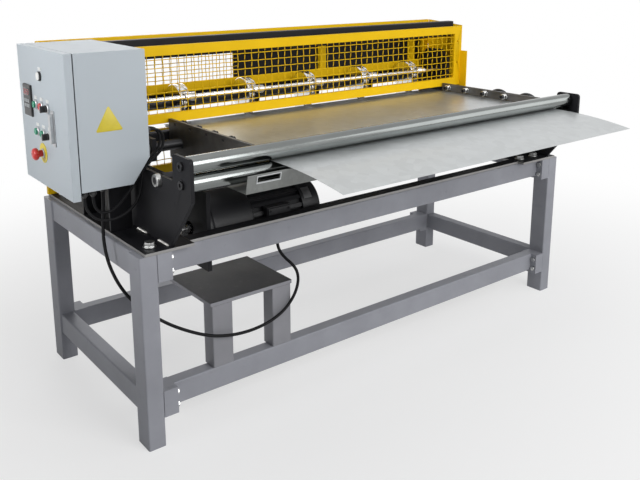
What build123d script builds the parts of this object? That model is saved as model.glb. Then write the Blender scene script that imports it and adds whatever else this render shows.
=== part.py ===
"""Duct beading machine on a tube stand, with feed rollers, bead shafts, guard and control cabinet.

Stand coordinates while building: X along the stand from its left face, Y from its front face to the back,
Z up from the floor. The finished part is moved so that its origin is the middle of its footprint.
Sizes are in millimetres. A rise or a drop is measured from the sheet line, an inset from the stand's face.
"""
import os
from math import atan2, cos, pi, radians, sin, sqrt, tan

from build123d import *

# Tube stand
stand_length = 2100
stand_depth = 840
stand_height = 655
leg_x = 60
leg_y = 80
tube_wall = 4
tube_radius = 5
rail_depth = 50
rail_height = 80
rail_setback = 30
lower_rail_z = 112
end_rail_width = 50
end_rail_inset = 5
stub_length = 40
stub_height = 92
flange_thickness = 10
frame_bolt = 12
frame_bolt_head = 19
frame_bolt_head_height = 8
frame_bolt_edge = 15
frame_bolt_drop = 24

# Front shelf on two posts
shelf_left = 255
shelf_length = 335
shelf_depth = 295
shelf_top = 427
shelf_thickness = 13
post_x = 80
post_y = 60
post_inset = 6

# Base plates on the stand, and the sheet line above them
base_thickness = 10
base_inset = 20
base_rear_inset = 2
base_left_width = 170
base_rear_width = 230
base_rear_depth = 278
base_right_width = 230
base_bolt = 20
base_bolt_head = 30
base_bolt_head_height = 13
base_washer = 42
base_washer_thickness = 4
sheet_line = 247

# Feed rollers and their brackets
roller_diameter = 56
roller_y = -78
roller_sheet_gap = 0.3
roller_journal = 18
roller_end_gap = 2
roller_chamfer = 1.5
journal_end_gap = 1
bracket_left = 112
bracket_right_inset = 56
bracket_thickness = 12
bracket_corner = 14
bracket_rear_height = 75
ear_half = 56
ear_rise = 30
ear_drop = 70
foot_front = 10
foot_rear = 430
shoulder_rear = 390
shoulder_drop = 27
bush_diameter = 25
bush_flange = 28
bush_flange_thickness = 7
bush_socket = 12
running_clearance = 0.05
slip_clearance = 0.3

# Tie bars, bed and apron
tie_diameter = 40
tie_stud = 24
tie_nut = 36
tie_nut_thickness = 15
tie_front_y = 71
tie_rear_inset = 346
tie_drop = 44
bed_thickness = 5
bed_front = -46
bed_rear_inset = 200
bed_side_gap = 2
rib_thickness = 8
rib_count = 5
rib_inset = 34
rib_drop = 82
rib_front = -44
rib_front_foot = -4
apron_reach = 150
apron_thickness = 3
apron_drop = 64
apron_bend = -165
apron_front = -178
apron_front_drop = 7
apron_slot_length = 84
apron_slot_height = 19
apron_slot_left = 36
apron_slot_drop = 8

# Sheet blank in the rollers
sheet_thickness = 1
sheet_left = 428
sheet_right_inset = 172
sheet_rear_inset = 185
sheet_bend_start = -118
sheet_front_run = 328
sheet_droop = 30

# Side plates and edge studs
side_plate_thickness = 12
side_plate_gap = 4
side_plate_front = 0
side_plate_rear_inset = 260
side_plate_rise = 38
side_plate_drop = 112
guide_drop = 82
guide_boss = 56
guide_boss_length = 24
stud_first_y = 182
stud_rear_gap = 50
stud_count = 4
stud_rise = 21
stud_sleeve = 26
stud_sleeve_length = 26
stud_bolt = 12
stud_bolt_end_gap = 2
stud_head = 18
stud_head_length = 10

# Guide screws and handwheels
screw_diameter = 20
screw_ys = (165, 330)
screw_drop = 51
screw_tail = 18
screw_bush = 32
screw_bush_flange = 44
wheel_inset = 32
wheel_rim_radius = 68
wheel_rim_section = 18
wheel_hub = 40
wheel_hub_length = 24
wheel_spokes = 3
wheel_spoke = 12

# Bead head
cheek_left = 280
cheek_right_inset = 94
cheek_thickness = 16
cheek_rear_inset = 50
cheek_depth = 184
cheek_rise = 198
cheek_crown = 40
cheek_arm_length = 151
cheek_arm_top_drop = 4
cheek_arm_drop = 86
cross_gap = 10
cross_depth = 40
cross_height = 70
cross_drop = 14
left_tail_setback = 70
left_tail_step = 24
left_tail_end_drop = 8
right_tail_setback = 40
right_tail_step = 40
right_foot_setback = 10
shaft_diameter = 40
shaft_rear_inset = 110
shaft_spread = 145
shaft_hole = 52
shaft_end_gap = 2
shaft_chamfer = 1.5
bead_wheel_radius = 71
bead_wheel_width = 44
bead_wheel_chamfer = 3
bead_ridge = 5
bead_ridge_width = 8
bead_groove = 6.5
bead_groove_width = 15
station_count = 5
station_inset = 106
bearing_diameter = 84
bearing_thickness = 18
bearing_chamfer = 2
gear_teeth = 29
gear_width = 24
gear_cheek_gap = 10
gear_addendum = 4
gear_dedendum = 5.5
gear_root_share = 0.46
gear_tip_share = 0.22

# Drive
chain_pitch = 15.875
driven_teeth = 24
drive_teeth = 17
sprocket_width = 6
sprocket_gear_gap = 23
sprocket_tooth = 4
sprocket_root = 5
sprocket_root_share = 0.8
sprocket_tip_share = 0.25
chain_half_height = 6
chain_plate = 2.5
chain_plate_gap = 0.3
chain_pin = 7
chain_free_links = 4.5
motor_y = 200
motor_drop = 15
drive_shaft_diameter = 30
shaft_stub = 12
short_stub = 4
reducer_flange = 240
reducer_flange_thickness = 14
reducer_diameter = 238
reducer_length = 164
reducer_round = 10
lobe_height = 130
lobe_drop = 122
motor_length = 220
motor_fin_count = 20
motor_core_radius = 88
motor_fin_radius = 98
motor_fin_share = 0.45
fan_cover_length = 84
fan_cover_diameter = 206
fan_cover_wall = 3
fan_cover_round = 16
fan_cover_lip = 20
fan_hole = 12
fan_ring_radii = (30, 56)
fan_ring_holes = (8, 14)
terminal_offset = 51
terminal_length = 100
terminal_reach = 116
terminal_drop = 40
terminal_height = 92
terminal_seat = 4
cover_reach = 21
cover_front_reach = 80
cover_drop = 167
cover_rise = 163
cover_wall = 3
cover_round = 20
cover_slot_drop = 22
cover_slot_margin = 9

# Hold-down rod with lead-in fingers
rod_diameter = 16
rod_setback = 98
rod_rise = 104
rod_end_gap = 1
collar_diameter = 34
collar_length = 50
collar_chamfer = 2
finger_width = 40
finger_thickness = 6
finger_arm = 10
finger_front_reach = 24
finger_front_rise = 34
finger_tip_reach = 40
finger_tip_rise = 5

# Guard
guard_left = 11
guard_right_inset = 36
guard_front_inset = 255
guard_thickness = 18
guard_rise = 20
guard_height = 296
guard_bar = 38
guard_post = 46
guard_hole = 10
mesh_thickness = 3
mesh_wire = 4
mesh_pitch = 40
rear_guard_inset = 28
rear_low_height = 5
exit_sill_drop = 50
exit_rise = 28
rear_mid_rise = 93
rear_top_rise = 338
rear_post_width = 36
rear_post_insets = (749, 154)
end_plate_thickness = 6
end_plate_drop = 7
end_plate_wing = 40
end_plate_wing_rise = 193
end_plate_rise = 320
beam_gap = 55
beam_depth = 40
beam_height = 76
beam_rise = 262
rear_panel_left = 860
rear_panel_thickness = 3
rear_panel_overlap = 12

# Control cabinet
cabinet_left = -112
cabinet_right = 113
cabinet_front = 128
cabinet_guard_gap = 40
cabinet_drop = 60
cabinet_height = 418
cabinet_wall = 3
cabinet_cut_x = 59
cabinet_cut_z = 80
door_thickness = 25
door_gap = 3
door_drop = 24
door_round = 2
hinge_barrel = 12
hinge_pin = 6
hinge_leaf = 22
hinge_leaf_thickness = 3
hinge_half = 30
hinge_inset = 60
cabinet_bracket_left = 25
cabinet_bracket_width = 80
cabinet_bracket_front_gap = 134
cabinet_bracket_rear_gap = 45
cabinet_bracket_plate = 8
mount_plate_gap = 12
mount_plate_margin = 22
mount_plate_spacer = 14
device_depths = (70, 95, 60)
device_margin = 24
device_gap = 18
device_row_gap = 50
device_row_step = 10
device_chamfer = 4

# Door fittings, placed by their share of the door's width and height
column_shares = (0.64, 0.513, 0.386)
upper_row_share = 0.593
lower_row_share = 0.396
lamp_shares = (0.508, 0.808)
display_shares = (0.794, 0.606)
stop_shares = (0.554, 0.249)
latch_shares = (0.283, 0.593)
button_diameter = 22
button_bezel = 30
button_bezel_height = 6
button_bezel_chamfer = 1.5
button_rise = 11
button_depth = 9
button_round = 2
lamp_round = 4
display_width = 68
display_height = 102
display_rise = 8
display_chamfer = 2
stop_disc = 64
stop_disc_thickness = 2
stop_head = 40
stop_head_start = 20
stop_head_length = 17
stop_head_round = 8
selector_grip = 8
selector_grip_length = 21
selector_grip_rise = 14
selector_grip_round = 3
latch_width = 24
latch_height = 112
latch_base = 4
latch_base_round = 6
latch_handle_width = 16
latch_handle_length = 92
latch_handle_thickness = 10
latch_handle_round = 7.5
latch_pin = 8
latch_pin_drop = 18

# Cables
motor_cable_diameter = 11
loop_cable_diameter = 9
gland_diameter = 22
gland_length = 22
motor_gland_diameter = 17.6
motor_gland_length = 20
motor_gland_setback = 16
arc_share = 0.45

# Places that follow from the sizes above
base_top = stand_height + base_thickness
pass_height = base_top + sheet_line
base_depth = stand_depth - base_rear_inset
base_left_end = base_inset + base_left_width
base_rear_start = base_depth - base_rear_depth
base_right_start = stand_length - base_inset - base_right_width
roller_radius = roller_diameter / 2
lower_roller_z = pass_height - roller_sheet_gap - roller_radius
upper_roller_z = pass_height + sheet_thickness + roller_sheet_gap + roller_radius
bracket_left_inner = bracket_left + bracket_thickness
bracket_right_outer = stand_length - bracket_right_inset
bracket_right = bracket_right_outer - bracket_thickness
tie_rear_y = stand_depth - tie_rear_inset
tie_z = pass_height - tie_drop
sheet_right = stand_length - sheet_right_inset
sheet_width = sheet_right - sheet_left
sheet_rear = stand_depth - sheet_rear_inset
sheet_top = pass_height + sheet_thickness
side_plate_inner = sheet_left - side_plate_gap
side_plate_outer = side_plate_inner - side_plate_thickness
guide_inner = sheet_right + side_plate_gap
guide_outer = guide_inner + side_plate_thickness
side_plate_rear = stand_depth - side_plate_rear_inset
side_plate_top = pass_height + side_plate_rise
bed_rear = stand_depth - bed_rear_inset
bed_top = pass_height - slip_clearance
bed_bottom = bed_top - bed_thickness
rib_bottom = pass_height - rib_drop
apron_left = sheet_left - apron_reach
apron_z = pass_height - apron_drop
apron_front_z = pass_height - apron_front_drop
stud_z = pass_height + stud_rise
stud_pitch = (side_plate_rear - stud_rear_gap - stud_first_y) / (stud_count - 1)
screw_z = pass_height - screw_drop
screw_start = guide_inner - screw_tail
wheel_x = stand_length - wheel_inset
cheek_left_inner = cheek_left + cheek_thickness
cheek_right_outer = stand_length - cheek_right_inset
cheek_right = cheek_right_outer - cheek_thickness
cheek_rear = stand_depth - cheek_rear_inset
cheek_front = cheek_rear - cheek_depth
cheek_top = pass_height + cheek_rise
cheek_arm_front = cheek_front - cheek_arm_length
cheek_arm_top = pass_height - cheek_arm_top_drop
cheek_arm_bottom = pass_height - cheek_arm_drop
cross_front = side_plate_rear + cross_gap
cross_rear = cross_front + cross_depth
cross_top = pass_height - cross_drop
shaft_y = stand_depth - shaft_rear_inset
lower_shaft_z = pass_height + (sheet_thickness - shaft_spread) / 2
upper_shaft_z = lower_shaft_z + shaft_spread
shaft_bore = shaft_diameter + 2 * running_clearance
station_pitch = (sheet_width - 2 * station_inset) / (station_count - 1)
station_xs = [sheet_left + station_inset + index * station_pitch for index in range(station_count)]
gear_x = cheek_left - gear_cheek_gap - gear_width
sprocket_x = gear_x - sprocket_gear_gap - sprocket_width
drive_shaft_start = sprocket_x - shaft_stub
drive_bore = drive_shaft_diameter + 2 * running_clearance
near_plate_x = sprocket_x - chain_plate_gap - chain_plate
far_plate_x = sprocket_x + sprocket_width + chain_plate_gap
motor_z = stand_height - motor_drop
reducer_housing_x = cheek_left_inner + reducer_flange_thickness
reducer_end = reducer_housing_x + reducer_length
motor_end = reducer_end + motor_length
fan_end = motor_end + fan_cover_length
terminal_x = reducer_end + terminal_offset
terminal_end = terminal_x + terminal_length
terminal_front = motor_y - terminal_reach
terminal_bottom = motor_z - terminal_drop
rod_y = shaft_y - rod_setback
rod_z = pass_height + rod_rise
guard_right = stand_length - guard_right_inset
guard_front = stand_depth - guard_front_inset
guard_back = guard_front + guard_thickness
guard_bottom = pass_height + guard_rise
guard_top = guard_bottom + guard_height
rear_guard_front = stand_depth - rear_guard_inset
rear_guard_back = rear_guard_front + guard_thickness
rear_low_bottom = base_top + rear_low_height
exit_sill = pass_height - exit_sill_drop
exit_top = pass_height + exit_rise
rear_mid_bottom = pass_height + rear_mid_rise
rear_top = pass_height + rear_top_rise
cabinet_rear = guard_front - cabinet_guard_gap
cabinet_bottom = pass_height - cabinet_drop
cabinet_top = cabinet_bottom + cabinet_height
door_back = cabinet_left - door_gap
door_face = door_back - door_thickness
door_inside = door_face + cabinet_wall
door_bottom = cabinet_bottom - door_drop

cut_over = 1  # how far a cutting solid reaches past the face that it opens
nodes = {}


def add(name, *solids):
    nodes.setdefault(name, []).extend(solids)


def block(x0, x1, y0, y1, z0, z1):
    return Pos((x0 + x1) / 2, (y0 + y1) / 2, (z0 + z1) / 2) * Box(x1 - x0, y1 - y0, z1 - z0)


def bar_x(x0, x1, y, z, diameter):
    return Pos((x0 + x1) / 2, y, z) * Rot(0, 90, 0) * Cylinder(diameter / 2, abs(x1 - x0))


def hole_x(x0, x1, y, z, diameter):
    return bar_x(min(x0, x1) - cut_over, max(x0, x1) + cut_over, y, z, diameter)


def bar_z(x, y, z0, z1, diameter):
    return Pos(x, y, (z0 + z1) / 2) * Cylinder(diameter / 2, z1 - z0)


def hex_x(x0, x1, y, z, flats):
    sketch = Plane.YZ.offset(min(x0, x1)) * (Pos(y, z) * RegularPolygon(flats / sqrt(3), 6))
    return extrude(sketch, amount=abs(x1 - x0))


def hex_z(x, y, z0, z1, flats):
    return extrude(Pos(x, y, z0) * RegularPolygon(flats / sqrt(3), 6), amount=z1 - z0)


def plate_x(points, x0, x1):
    return extrude(Plane.YZ.offset(x0) * make_face(Polyline(*points, close=True)), amount=x1 - x0)


def square_tube(x0, x1, y0, y1, z0, z1, axis, wall=tube_wall, radius=tube_radius):
    outer = fillet(block(x0, x1, y0, y1, z0, z1).edges().filter_by(axis), radius)
    dx, dy, dz = (0 if axis == a else wall for a in (Axis.X, Axis.Y, Axis.Z))
    return outer - block(x0 + dx, x1 - dx, y0 + dy, y1 - dy, z0 + dz, z1 - dz)


def mirror_x(solid):
    return mirror(solid, about=Plane.YZ.offset(stand_length / 2))


def gear_sketch(teeth, root_radius, tip_radius, root_share, tip_share, phase):
    points = []
    step = 2 * pi / teeth
    for tooth in range(teeth):
        middle = phase + tooth * step
        for radius, share in ((root_radius, -root_share), (tip_radius, -tip_share),
                              (tip_radius, tip_share), (root_radius, root_share)):
            angle = middle + share * step / 2
            points.append((radius * cos(angle), radius * sin(angle)))
    return make_face(Polyline(*points, close=True))


def toothed_wheel(x0, width, y, z, sketch, bore):
    body = extrude(Plane.YZ.offset(x0) * (Pos(y, z) * sketch), amount=width)
    return body - hole_x(x0, x0 + width, y, z, bore)


def net_panel(x0, x1, y0, z0, z1):
    columns = round((x1 - x0) / mesh_pitch)
    rows = round((z1 - z0) / mesh_pitch)
    pitch_x = (x1 - x0 - mesh_wire) / columns
    pitch_z = (z1 - z0 - mesh_wire) / rows
    outer = Wire.make_polygon([(x0, y0, z0), (x1, y0, z0), (x1, y0, z1), (x0, y0, z1)])
    gaps = []
    for column in range(columns):
        left = x0 + mesh_wire + column * pitch_x
        right = left + pitch_x - mesh_wire
        for row in range(rows):
            low = z0 + mesh_wire + row * pitch_z
            high = low + pitch_z - mesh_wire
            corners = [(left, y0, low), (right, y0, low), (right, y0, high), (left, y0, high)]
            gaps.append(Wire.make_polygon(corners))
    return extrude(Face(outer, gaps), amount=mesh_thickness, dir=(0, 1, 0))


# Stand: legs closed at the top, end rails between them
for leg_left in (0, stand_length - leg_x):
    for leg_near in (0, stand_depth - leg_y):
        leg = block(leg_left, leg_left + leg_x, leg_near, leg_near + leg_y, 0, stand_height)
        leg = fillet(leg.edges().filter_by(Axis.Z), tube_radius)
        hollow = block(leg_left + tube_wall, leg_left + leg_x - tube_wall, leg_near + tube_wall,
                       leg_near + leg_y - tube_wall, -cut_over, stand_height - tube_wall)
        add("legs", leg - hollow)
for rail_left in (end_rail_inset, stand_length - end_rail_inset - end_rail_width):
    for rail_z in (stand_height - rail_height, lower_rail_z):
        add("end_rails", square_tube(rail_left, rail_left + end_rail_width, leg_y, stand_depth - leg_y,
                                     rail_z, rail_z + rail_height, Axis.Y))

# Long rails with end flanges, bolted to stubs on the legs
stub_end = leg_x + stub_length
rail_start = stub_end + flange_thickness
for near_side in (True, False):
    leg_near = 0 if near_side else stand_depth - leg_y
    leg_far = leg_near + leg_y
    rail_near = rail_setback if near_side else stand_depth - rail_setback - rail_depth
    bolt_y = frame_bolt_edge if near_side else stand_depth - frame_bolt_edge
    for rail_z in (stand_height - rail_height, lower_rail_z):
        rail_top = rail_z + rail_height
        stub_low = rail_top - stub_height
        bolt_zs = (rail_top - frame_bolt_drop, stub_low + frame_bolt_drop)
        holes = [bar_x(0, stand_length, bolt_y, bolt_z, frame_bolt + 2 * slip_clearance)
                 for bolt_z in bolt_zs]
        add("long_rails", square_tube(rail_start, stand_length - rail_start, rail_near,
                                      rail_near + rail_depth, rail_z, rail_top, Axis.X))
        flange = block(stub_end, rail_start, leg_near, leg_far, stub_low, rail_top) - holes
        add("long_rails", flange, mirror_x(flange))
        stub = block(leg_x, stub_end, leg_near, leg_far, stub_low, rail_top)
        stub = stub - block(leg_x, stub_end - flange_thickness, leg_near + tube_wall, leg_far - tube_wall,
                            stub_low + tube_wall, rail_top - tube_wall)
        stub = stub - holes
        add("legs", stub, mirror_x(stub))
        for bolt_z in bolt_zs:
            shank = bar_x(stub_end - flange_thickness, rail_start, bolt_y, bolt_z, frame_bolt)
            head = hex_x(rail_start, rail_start + frame_bolt_head_height, bolt_y, bolt_z, frame_bolt_head)
            add("stand_bolts", shank + head, mirror_x(shank + head))

# Shelf
shelf_right = shelf_left + shelf_length
shelf_bottom = shelf_top - shelf_thickness
for post_left in (shelf_left + post_inset, shelf_right - post_inset - post_x):
    add("front_shelf", square_tube(post_left, post_left + post_x, rail_setback, rail_setback + post_y,
                                   lower_rail_z + rail_height, shelf_bottom, Axis.Z))
shelf = block(shelf_left, shelf_right, rail_setback, rail_setback + shelf_depth, shelf_bottom, shelf_top)
add("front_shelf", fillet(shelf.edges().filter_by(Axis.Z), tube_radius))

# Base plates with their bolts
bolt_inset = base_inset + base_washer
base_rear_end = base_left_end + base_rear_width
rear_bolt_y = stand_depth - rail_setback - rail_depth / 2
front_bolt_y = rail_setback + rail_depth / 2
base_bolt_places = [
    (bolt_inset, front_bolt_y), (bolt_inset, rear_bolt_y), (base_rear_end - base_washer, rear_bolt_y),
    (bracket_right - base_washer, front_bolt_y), (base_right_start + base_washer, front_bolt_y),
    (stand_length - bolt_inset, rear_bolt_y), (base_right_start + base_washer, rear_bolt_y)]
base_holes = [bar_z(x, y, 0, base_top + cut_over, base_bolt + 2 * slip_clearance)
              for x, y in base_bolt_places]
base_right_end = stand_length - base_inset
for x0, x1, y0, y1 in (
        (base_inset, base_left_end, 0, base_depth),
        (base_left_end, base_rear_end, base_rear_start, base_depth),
        (base_right_start, base_right_end, 0, base_depth),
        (base_left_end, base_right_start, rail_setback, rail_setback + rail_depth)):
    add("base_plates", block(x0, x1, y0, y1, stand_height, base_top) - base_holes)
for x, y in base_bolt_places:
    washer_top = base_top + base_washer_thickness
    bolt = bar_z(x, y, base_top, washer_top, base_washer)
    bolt = bolt + hex_z(x, y, washer_top, washer_top + base_bolt_head_height, base_bolt_head)
    add("stand_bolts", bolt + bar_z(x, y, stand_height, base_top, base_bolt))

# Roller brackets with rounded upper corners
bracket_points = [
    (foot_front, base_top), (foot_rear, base_top), (foot_rear, base_top + bracket_rear_height),
    (shoulder_rear, pass_height - shoulder_drop), (roller_y + ear_half, pass_height - shoulder_drop),
    (roller_y + ear_half, upper_roller_z + ear_rise), (roller_y - ear_half, upper_roller_z + ear_rise),
    (roller_y - ear_half, pass_height - ear_drop)]
bracket_face = make_face(Polyline(*bracket_points, close=True))
upper_corners = bracket_face.vertices().filter_by(lambda corner: corner.Y > base_top + cut_over)
bracket_face = fillet(upper_corners, bracket_corner)
for x0, x1 in ((bracket_left, bracket_left_inner), (bracket_right, bracket_right_outer)):
    bracket = extrude(Plane.YZ.offset(x0) * bracket_face, amount=bracket_thickness)
    for roller_z in (lower_roller_z, upper_roller_z):
        bracket = bracket - hole_x(x0, x1, roller_y, roller_z, bush_diameter + 2 * running_clearance)
    bracket = bracket - hole_x(x0, x1, tie_front_y, tie_z, tie_stud + 2 * slip_clearance)
    if x0 == bracket_right:
        for screw_y in screw_ys:
            bracket = bracket - hole_x(x0, x1, screw_y, screw_z, screw_bush + 2 * running_clearance)
    add("roller_brackets", bracket)

# Feed rollers turning in capped bushes
for name, roller_z in (("lower_feed_roller", lower_roller_z), ("upper_feed_roller", upper_roller_z)):
    body = bar_x(bracket_left_inner + roller_end_gap, bracket_right - roller_end_gap, roller_y, roller_z,
                 roller_diameter)
    journal = bar_x(bracket_left + journal_end_gap, bracket_right_outer - journal_end_gap, roller_y,
                    roller_z, roller_journal)
    add(name, chamfer(body.edges(), roller_chamfer) + journal)
    for outer, inner, outward in ((bracket_left, bracket_left_inner, -1),
                                  (bracket_right_outer, bracket_right, 1)):
        cap_end = outer + outward * bush_flange_thickness
        socket_start = outer + outward * bush_flange_thickness / 2
        bush = bar_x(outer, inner, roller_y, roller_z, bush_diameter)
        bush = bush - hole_x(outer, inner, roller_y, roller_z, roller_journal + 2 * running_clearance)
        cap = bar_x(outer, cap_end, roller_y, roller_z, bush_flange)
        socket = hex_x(socket_start, cap_end, roller_y, roller_z, bush_socket)
        add("shaft_bushes", bush + cap - socket)

# Tie bars held by nuts, the front one in the brackets and the rear one in the cheeks
for tie_y, x0, x1, wall in ((tie_front_y, bracket_left_inner, bracket_right, bracket_thickness),
                            (tie_rear_y, cheek_left_inner, cheek_right, cheek_thickness)):
    stud_out = wall + tie_nut_thickness
    stud = bar_x(x0 - stud_out, x1 + stud_out, tie_y, tie_z, tie_stud)
    add("tie_bars", bar_x(x0, x1, tie_y, tie_z, tie_diameter) + stud)
    for nut_start in (x0 - stud_out, x1 + wall):
        nut_end = nut_start + tie_nut_thickness
        nut = hex_x(nut_start, nut_end, tie_y, tie_z, tie_nut)
        add("tie_bars", nut - hole_x(nut_start, nut_end, tie_y, tie_z, tie_stud + 2 * running_clearance))

# Bed plate on ribs that hang on the tie bars
add("bed_plate", block(side_plate_inner + bed_side_gap, guide_inner - bed_side_gap, bed_front, bed_rear,
                       bed_bottom, bed_top))
rib_points = [
    (rib_front, bed_bottom), (cross_front, bed_bottom), (cross_front, tie_z),
    (tie_rear_y + tie_diameter, rib_bottom), (rib_front_foot, rib_bottom), (rib_front_foot, apron_z),
    (rib_front, apron_z)]
rib_pitch = (sheet_width - 2 * rib_inset) / (rib_count - 1)
for index in range(rib_count):
    x0 = sheet_left + rib_inset + index * rib_pitch - rib_thickness / 2
    x1 = x0 + rib_thickness
    rib = plate_x(rib_points, x0, x1)
    for tie_y in (tie_front_y, tie_rear_y):
        rib = rib - hole_x(x0, x1, tie_y, tie_z, tie_diameter + 2 * running_clearance)
    add("bed_ribs", rib)

# Apron under the rollers, bent up to a steep front with a hand slot at its left
slope = atan2(apron_front_z - apron_z, apron_bend - apron_front)
knee = apron_thickness * tan(slope / 2)
apron_face = apron_front - apron_thickness * sin(slope)
apron = plate_x([
    (rib_front_foot, apron_z), (apron_bend, apron_z), (apron_front, apron_front_z),
    (apron_face, apron_front_z - apron_thickness * cos(slope)),
    (apron_bend - knee, apron_z - apron_thickness), (rib_front_foot, apron_z - apron_thickness)],
    apron_left, sheet_right)
slot_x = apron_left + apron_slot_left
slot_top = apron_front_z - apron_slot_drop
slot = block(slot_x, slot_x + apron_slot_length, apron_face - cut_over, apron_bend + cut_over,
             slot_top - apron_slot_height, slot_top)
add("infeed_apron", apron - slot)

# Sheet blank: flat through the rollers, drooping in front of them
droop_radius = sheet_front_run ** 2 / (2 * sheet_droop)
droop_angle = sheet_front_run / droop_radius


def droop_point(radius, share):
    angle = droop_angle * share
    return (sheet_bend_start - radius * sin(angle), pass_height - droop_radius + radius * cos(angle))


top_radius = droop_radius + sheet_thickness
sheet_outline = [
    Line((sheet_rear, pass_height), (sheet_bend_start, pass_height)),
    ThreePointArc(*(droop_point(droop_radius, share) for share in (0, 0.5, 1))),
    Line(droop_point(droop_radius, 1), droop_point(top_radius, 1)),
    ThreePointArc(*(droop_point(top_radius, share) for share in (1, 0.5, 0))),
    Line((sheet_bend_start, sheet_top), (sheet_rear, sheet_top)),
    Line((sheet_rear, sheet_top), (sheet_rear, pass_height))]
add("sheet_blank", extrude(Plane.YZ.offset(sheet_left) * make_face(sheet_outline), amount=sheet_width))

# Left side plate and the right side guide, with edge studs over the sheet's borders
left_plate = block(side_plate_outer, side_plate_inner, side_plate_front, side_plate_rear,
                   pass_height - side_plate_drop, side_plate_top)
guide = block(guide_inner, guide_outer, side_plate_front, side_plate_rear, pass_height - guide_drop,
              side_plate_top)
for tie_y in (tie_front_y, tie_rear_y):
    bore = bar_x(0, stand_length, tie_y, tie_z, tie_diameter + 2 * running_clearance)
    left_plate = left_plate - bore
    guide = guide - bore
    boss = bar_x(guide_inner - guide_boss_length, guide_inner, tie_y, tie_z, guide_boss)
    add("right_side_guide", boss - bore)
for screw_y in screw_ys:
    screw_bore = screw_diameter + 2 * running_clearance
    guide = guide - hole_x(guide_inner, guide_outer, screw_y, screw_z, screw_bore)
for index in range(stud_count):
    stud_y = stud_first_y + index * stud_pitch
    hole = bar_x(0, stand_length, stud_y, stud_z, stud_bolt + 2 * running_clearance)
    left_plate = left_plate - hole
    guide = guide - hole
    for name, face, inward in (("left_edge_studs", side_plate_inner, 1),
                               ("right_edge_studs", guide_inner, -1)):
        sleeve_end = face + inward * stud_sleeve_length
        head_end = sleeve_end + inward * stud_head_length
        bolt_start = face - inward * (side_plate_thickness - stud_bolt_end_gap)
        sleeve = bar_x(face, sleeve_end, stud_y, stud_z, stud_sleeve) - hole
        head = bar_x(sleeve_end, head_end, stud_y, stud_z, stud_head)
        add(name, sleeve, head + bar_x(bolt_start, sleeve_end, stud_y, stud_z, stud_bolt))
add("left_side_plate", left_plate)
add("right_side_guide", guide)

# Guide screws with handwheels outside the right bracket
hub_start = wheel_x - wheel_hub_length / 2
hub_end = wheel_x + wheel_hub_length / 2
bush_start = bracket_right - bush_flange_thickness
for name, screw_y in zip(("front_handwheel", "rear_handwheel"), screw_ys):
    wheel_place = Pos(wheel_x, screw_y, screw_z)
    rim = wheel_place * Rot(0, 90, 0) * Torus(wheel_rim_radius, wheel_rim_section / 2)
    wheel = rim + bar_x(hub_start, hub_end, screw_y, screw_z, wheel_hub)
    for index in range(wheel_spokes):
        spoke = Pos(0, 0, wheel_rim_radius / 2) * Cylinder(wheel_spoke / 2, wheel_rim_radius)
        wheel = wheel + wheel_place * Rot(index * 360 / wheel_spokes, 0, 0) * spoke
    wheel = wheel - hole_x(hub_start, hub_end, screw_y, screw_z, screw_bore)
    add(name, bar_x(screw_start, hub_end, screw_y, screw_z, screw_diameter), wheel)
    bush = bar_x(bracket_right, bracket_right_outer, screw_y, screw_z, screw_bush)
    bush = bush + bar_x(bush_start, bracket_right, screw_y, screw_z, screw_bush_flange)
    add("shaft_bushes", bush - hole_x(bush_start, bracket_right_outer, screw_y, screw_z, screw_bore))

# Cheeks that carry the bead shafts, with a cross beam; the left one also carries the gear motor
cheek_head = [
    (cheek_rear, base_top), (cheek_rear, cheek_top - cheek_crown), (cheek_rear - cheek_crown, cheek_top),
    (cheek_front + cheek_crown, cheek_top), (cheek_front, cheek_top - cheek_crown),
    (cheek_front, cheek_arm_top), (cheek_arm_front, cheek_arm_top), (cheek_arm_front, cheek_arm_bottom)]
lobe_top = base_top + lobe_height
lobe_bottom = motor_z - lobe_drop
left_tail = [
    (cheek_front - left_tail_setback, cheek_arm_bottom - left_tail_step),
    (cheek_front - left_tail_setback, lobe_top), (motor_y - reducer_flange / 2, lobe_top),
    (motor_y - reducer_flange / 2, lobe_bottom), (motor_y + reducer_flange / 2, lobe_bottom),
    (base_rear_start - slip_clearance, stand_height - left_tail_end_drop),
    (base_rear_start - slip_clearance, base_top)]
right_tail = [
    (cheek_front - right_tail_setback, cheek_arm_bottom - right_tail_step),
    (cheek_front - right_foot_setback, base_top)]
cheek_bores = [
    (shaft_y, lower_shaft_z, shaft_hole), (shaft_y, upper_shaft_z, shaft_hole),
    (rod_y, rod_z, rod_diameter + 2 * running_clearance), (tie_rear_y, tie_z, tie_stud + 2 * slip_clearance)]
for tail, x0, bores in ((left_tail, cheek_left, cheek_bores + [(motor_y, motor_z, shaft_hole)]),
                        (right_tail, cheek_right, cheek_bores)):
    x1 = x0 + cheek_thickness
    add("bead_cheeks", plate_x(cheek_head + tail, x0, x1) - [hole_x(x0, x1, *bore) for bore in bores])
add("bead_cheeks", square_tube(cheek_left_inner, cheek_right, cross_front, cross_rear,
                               cross_top - cross_height, cross_top, Axis.X))

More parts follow.
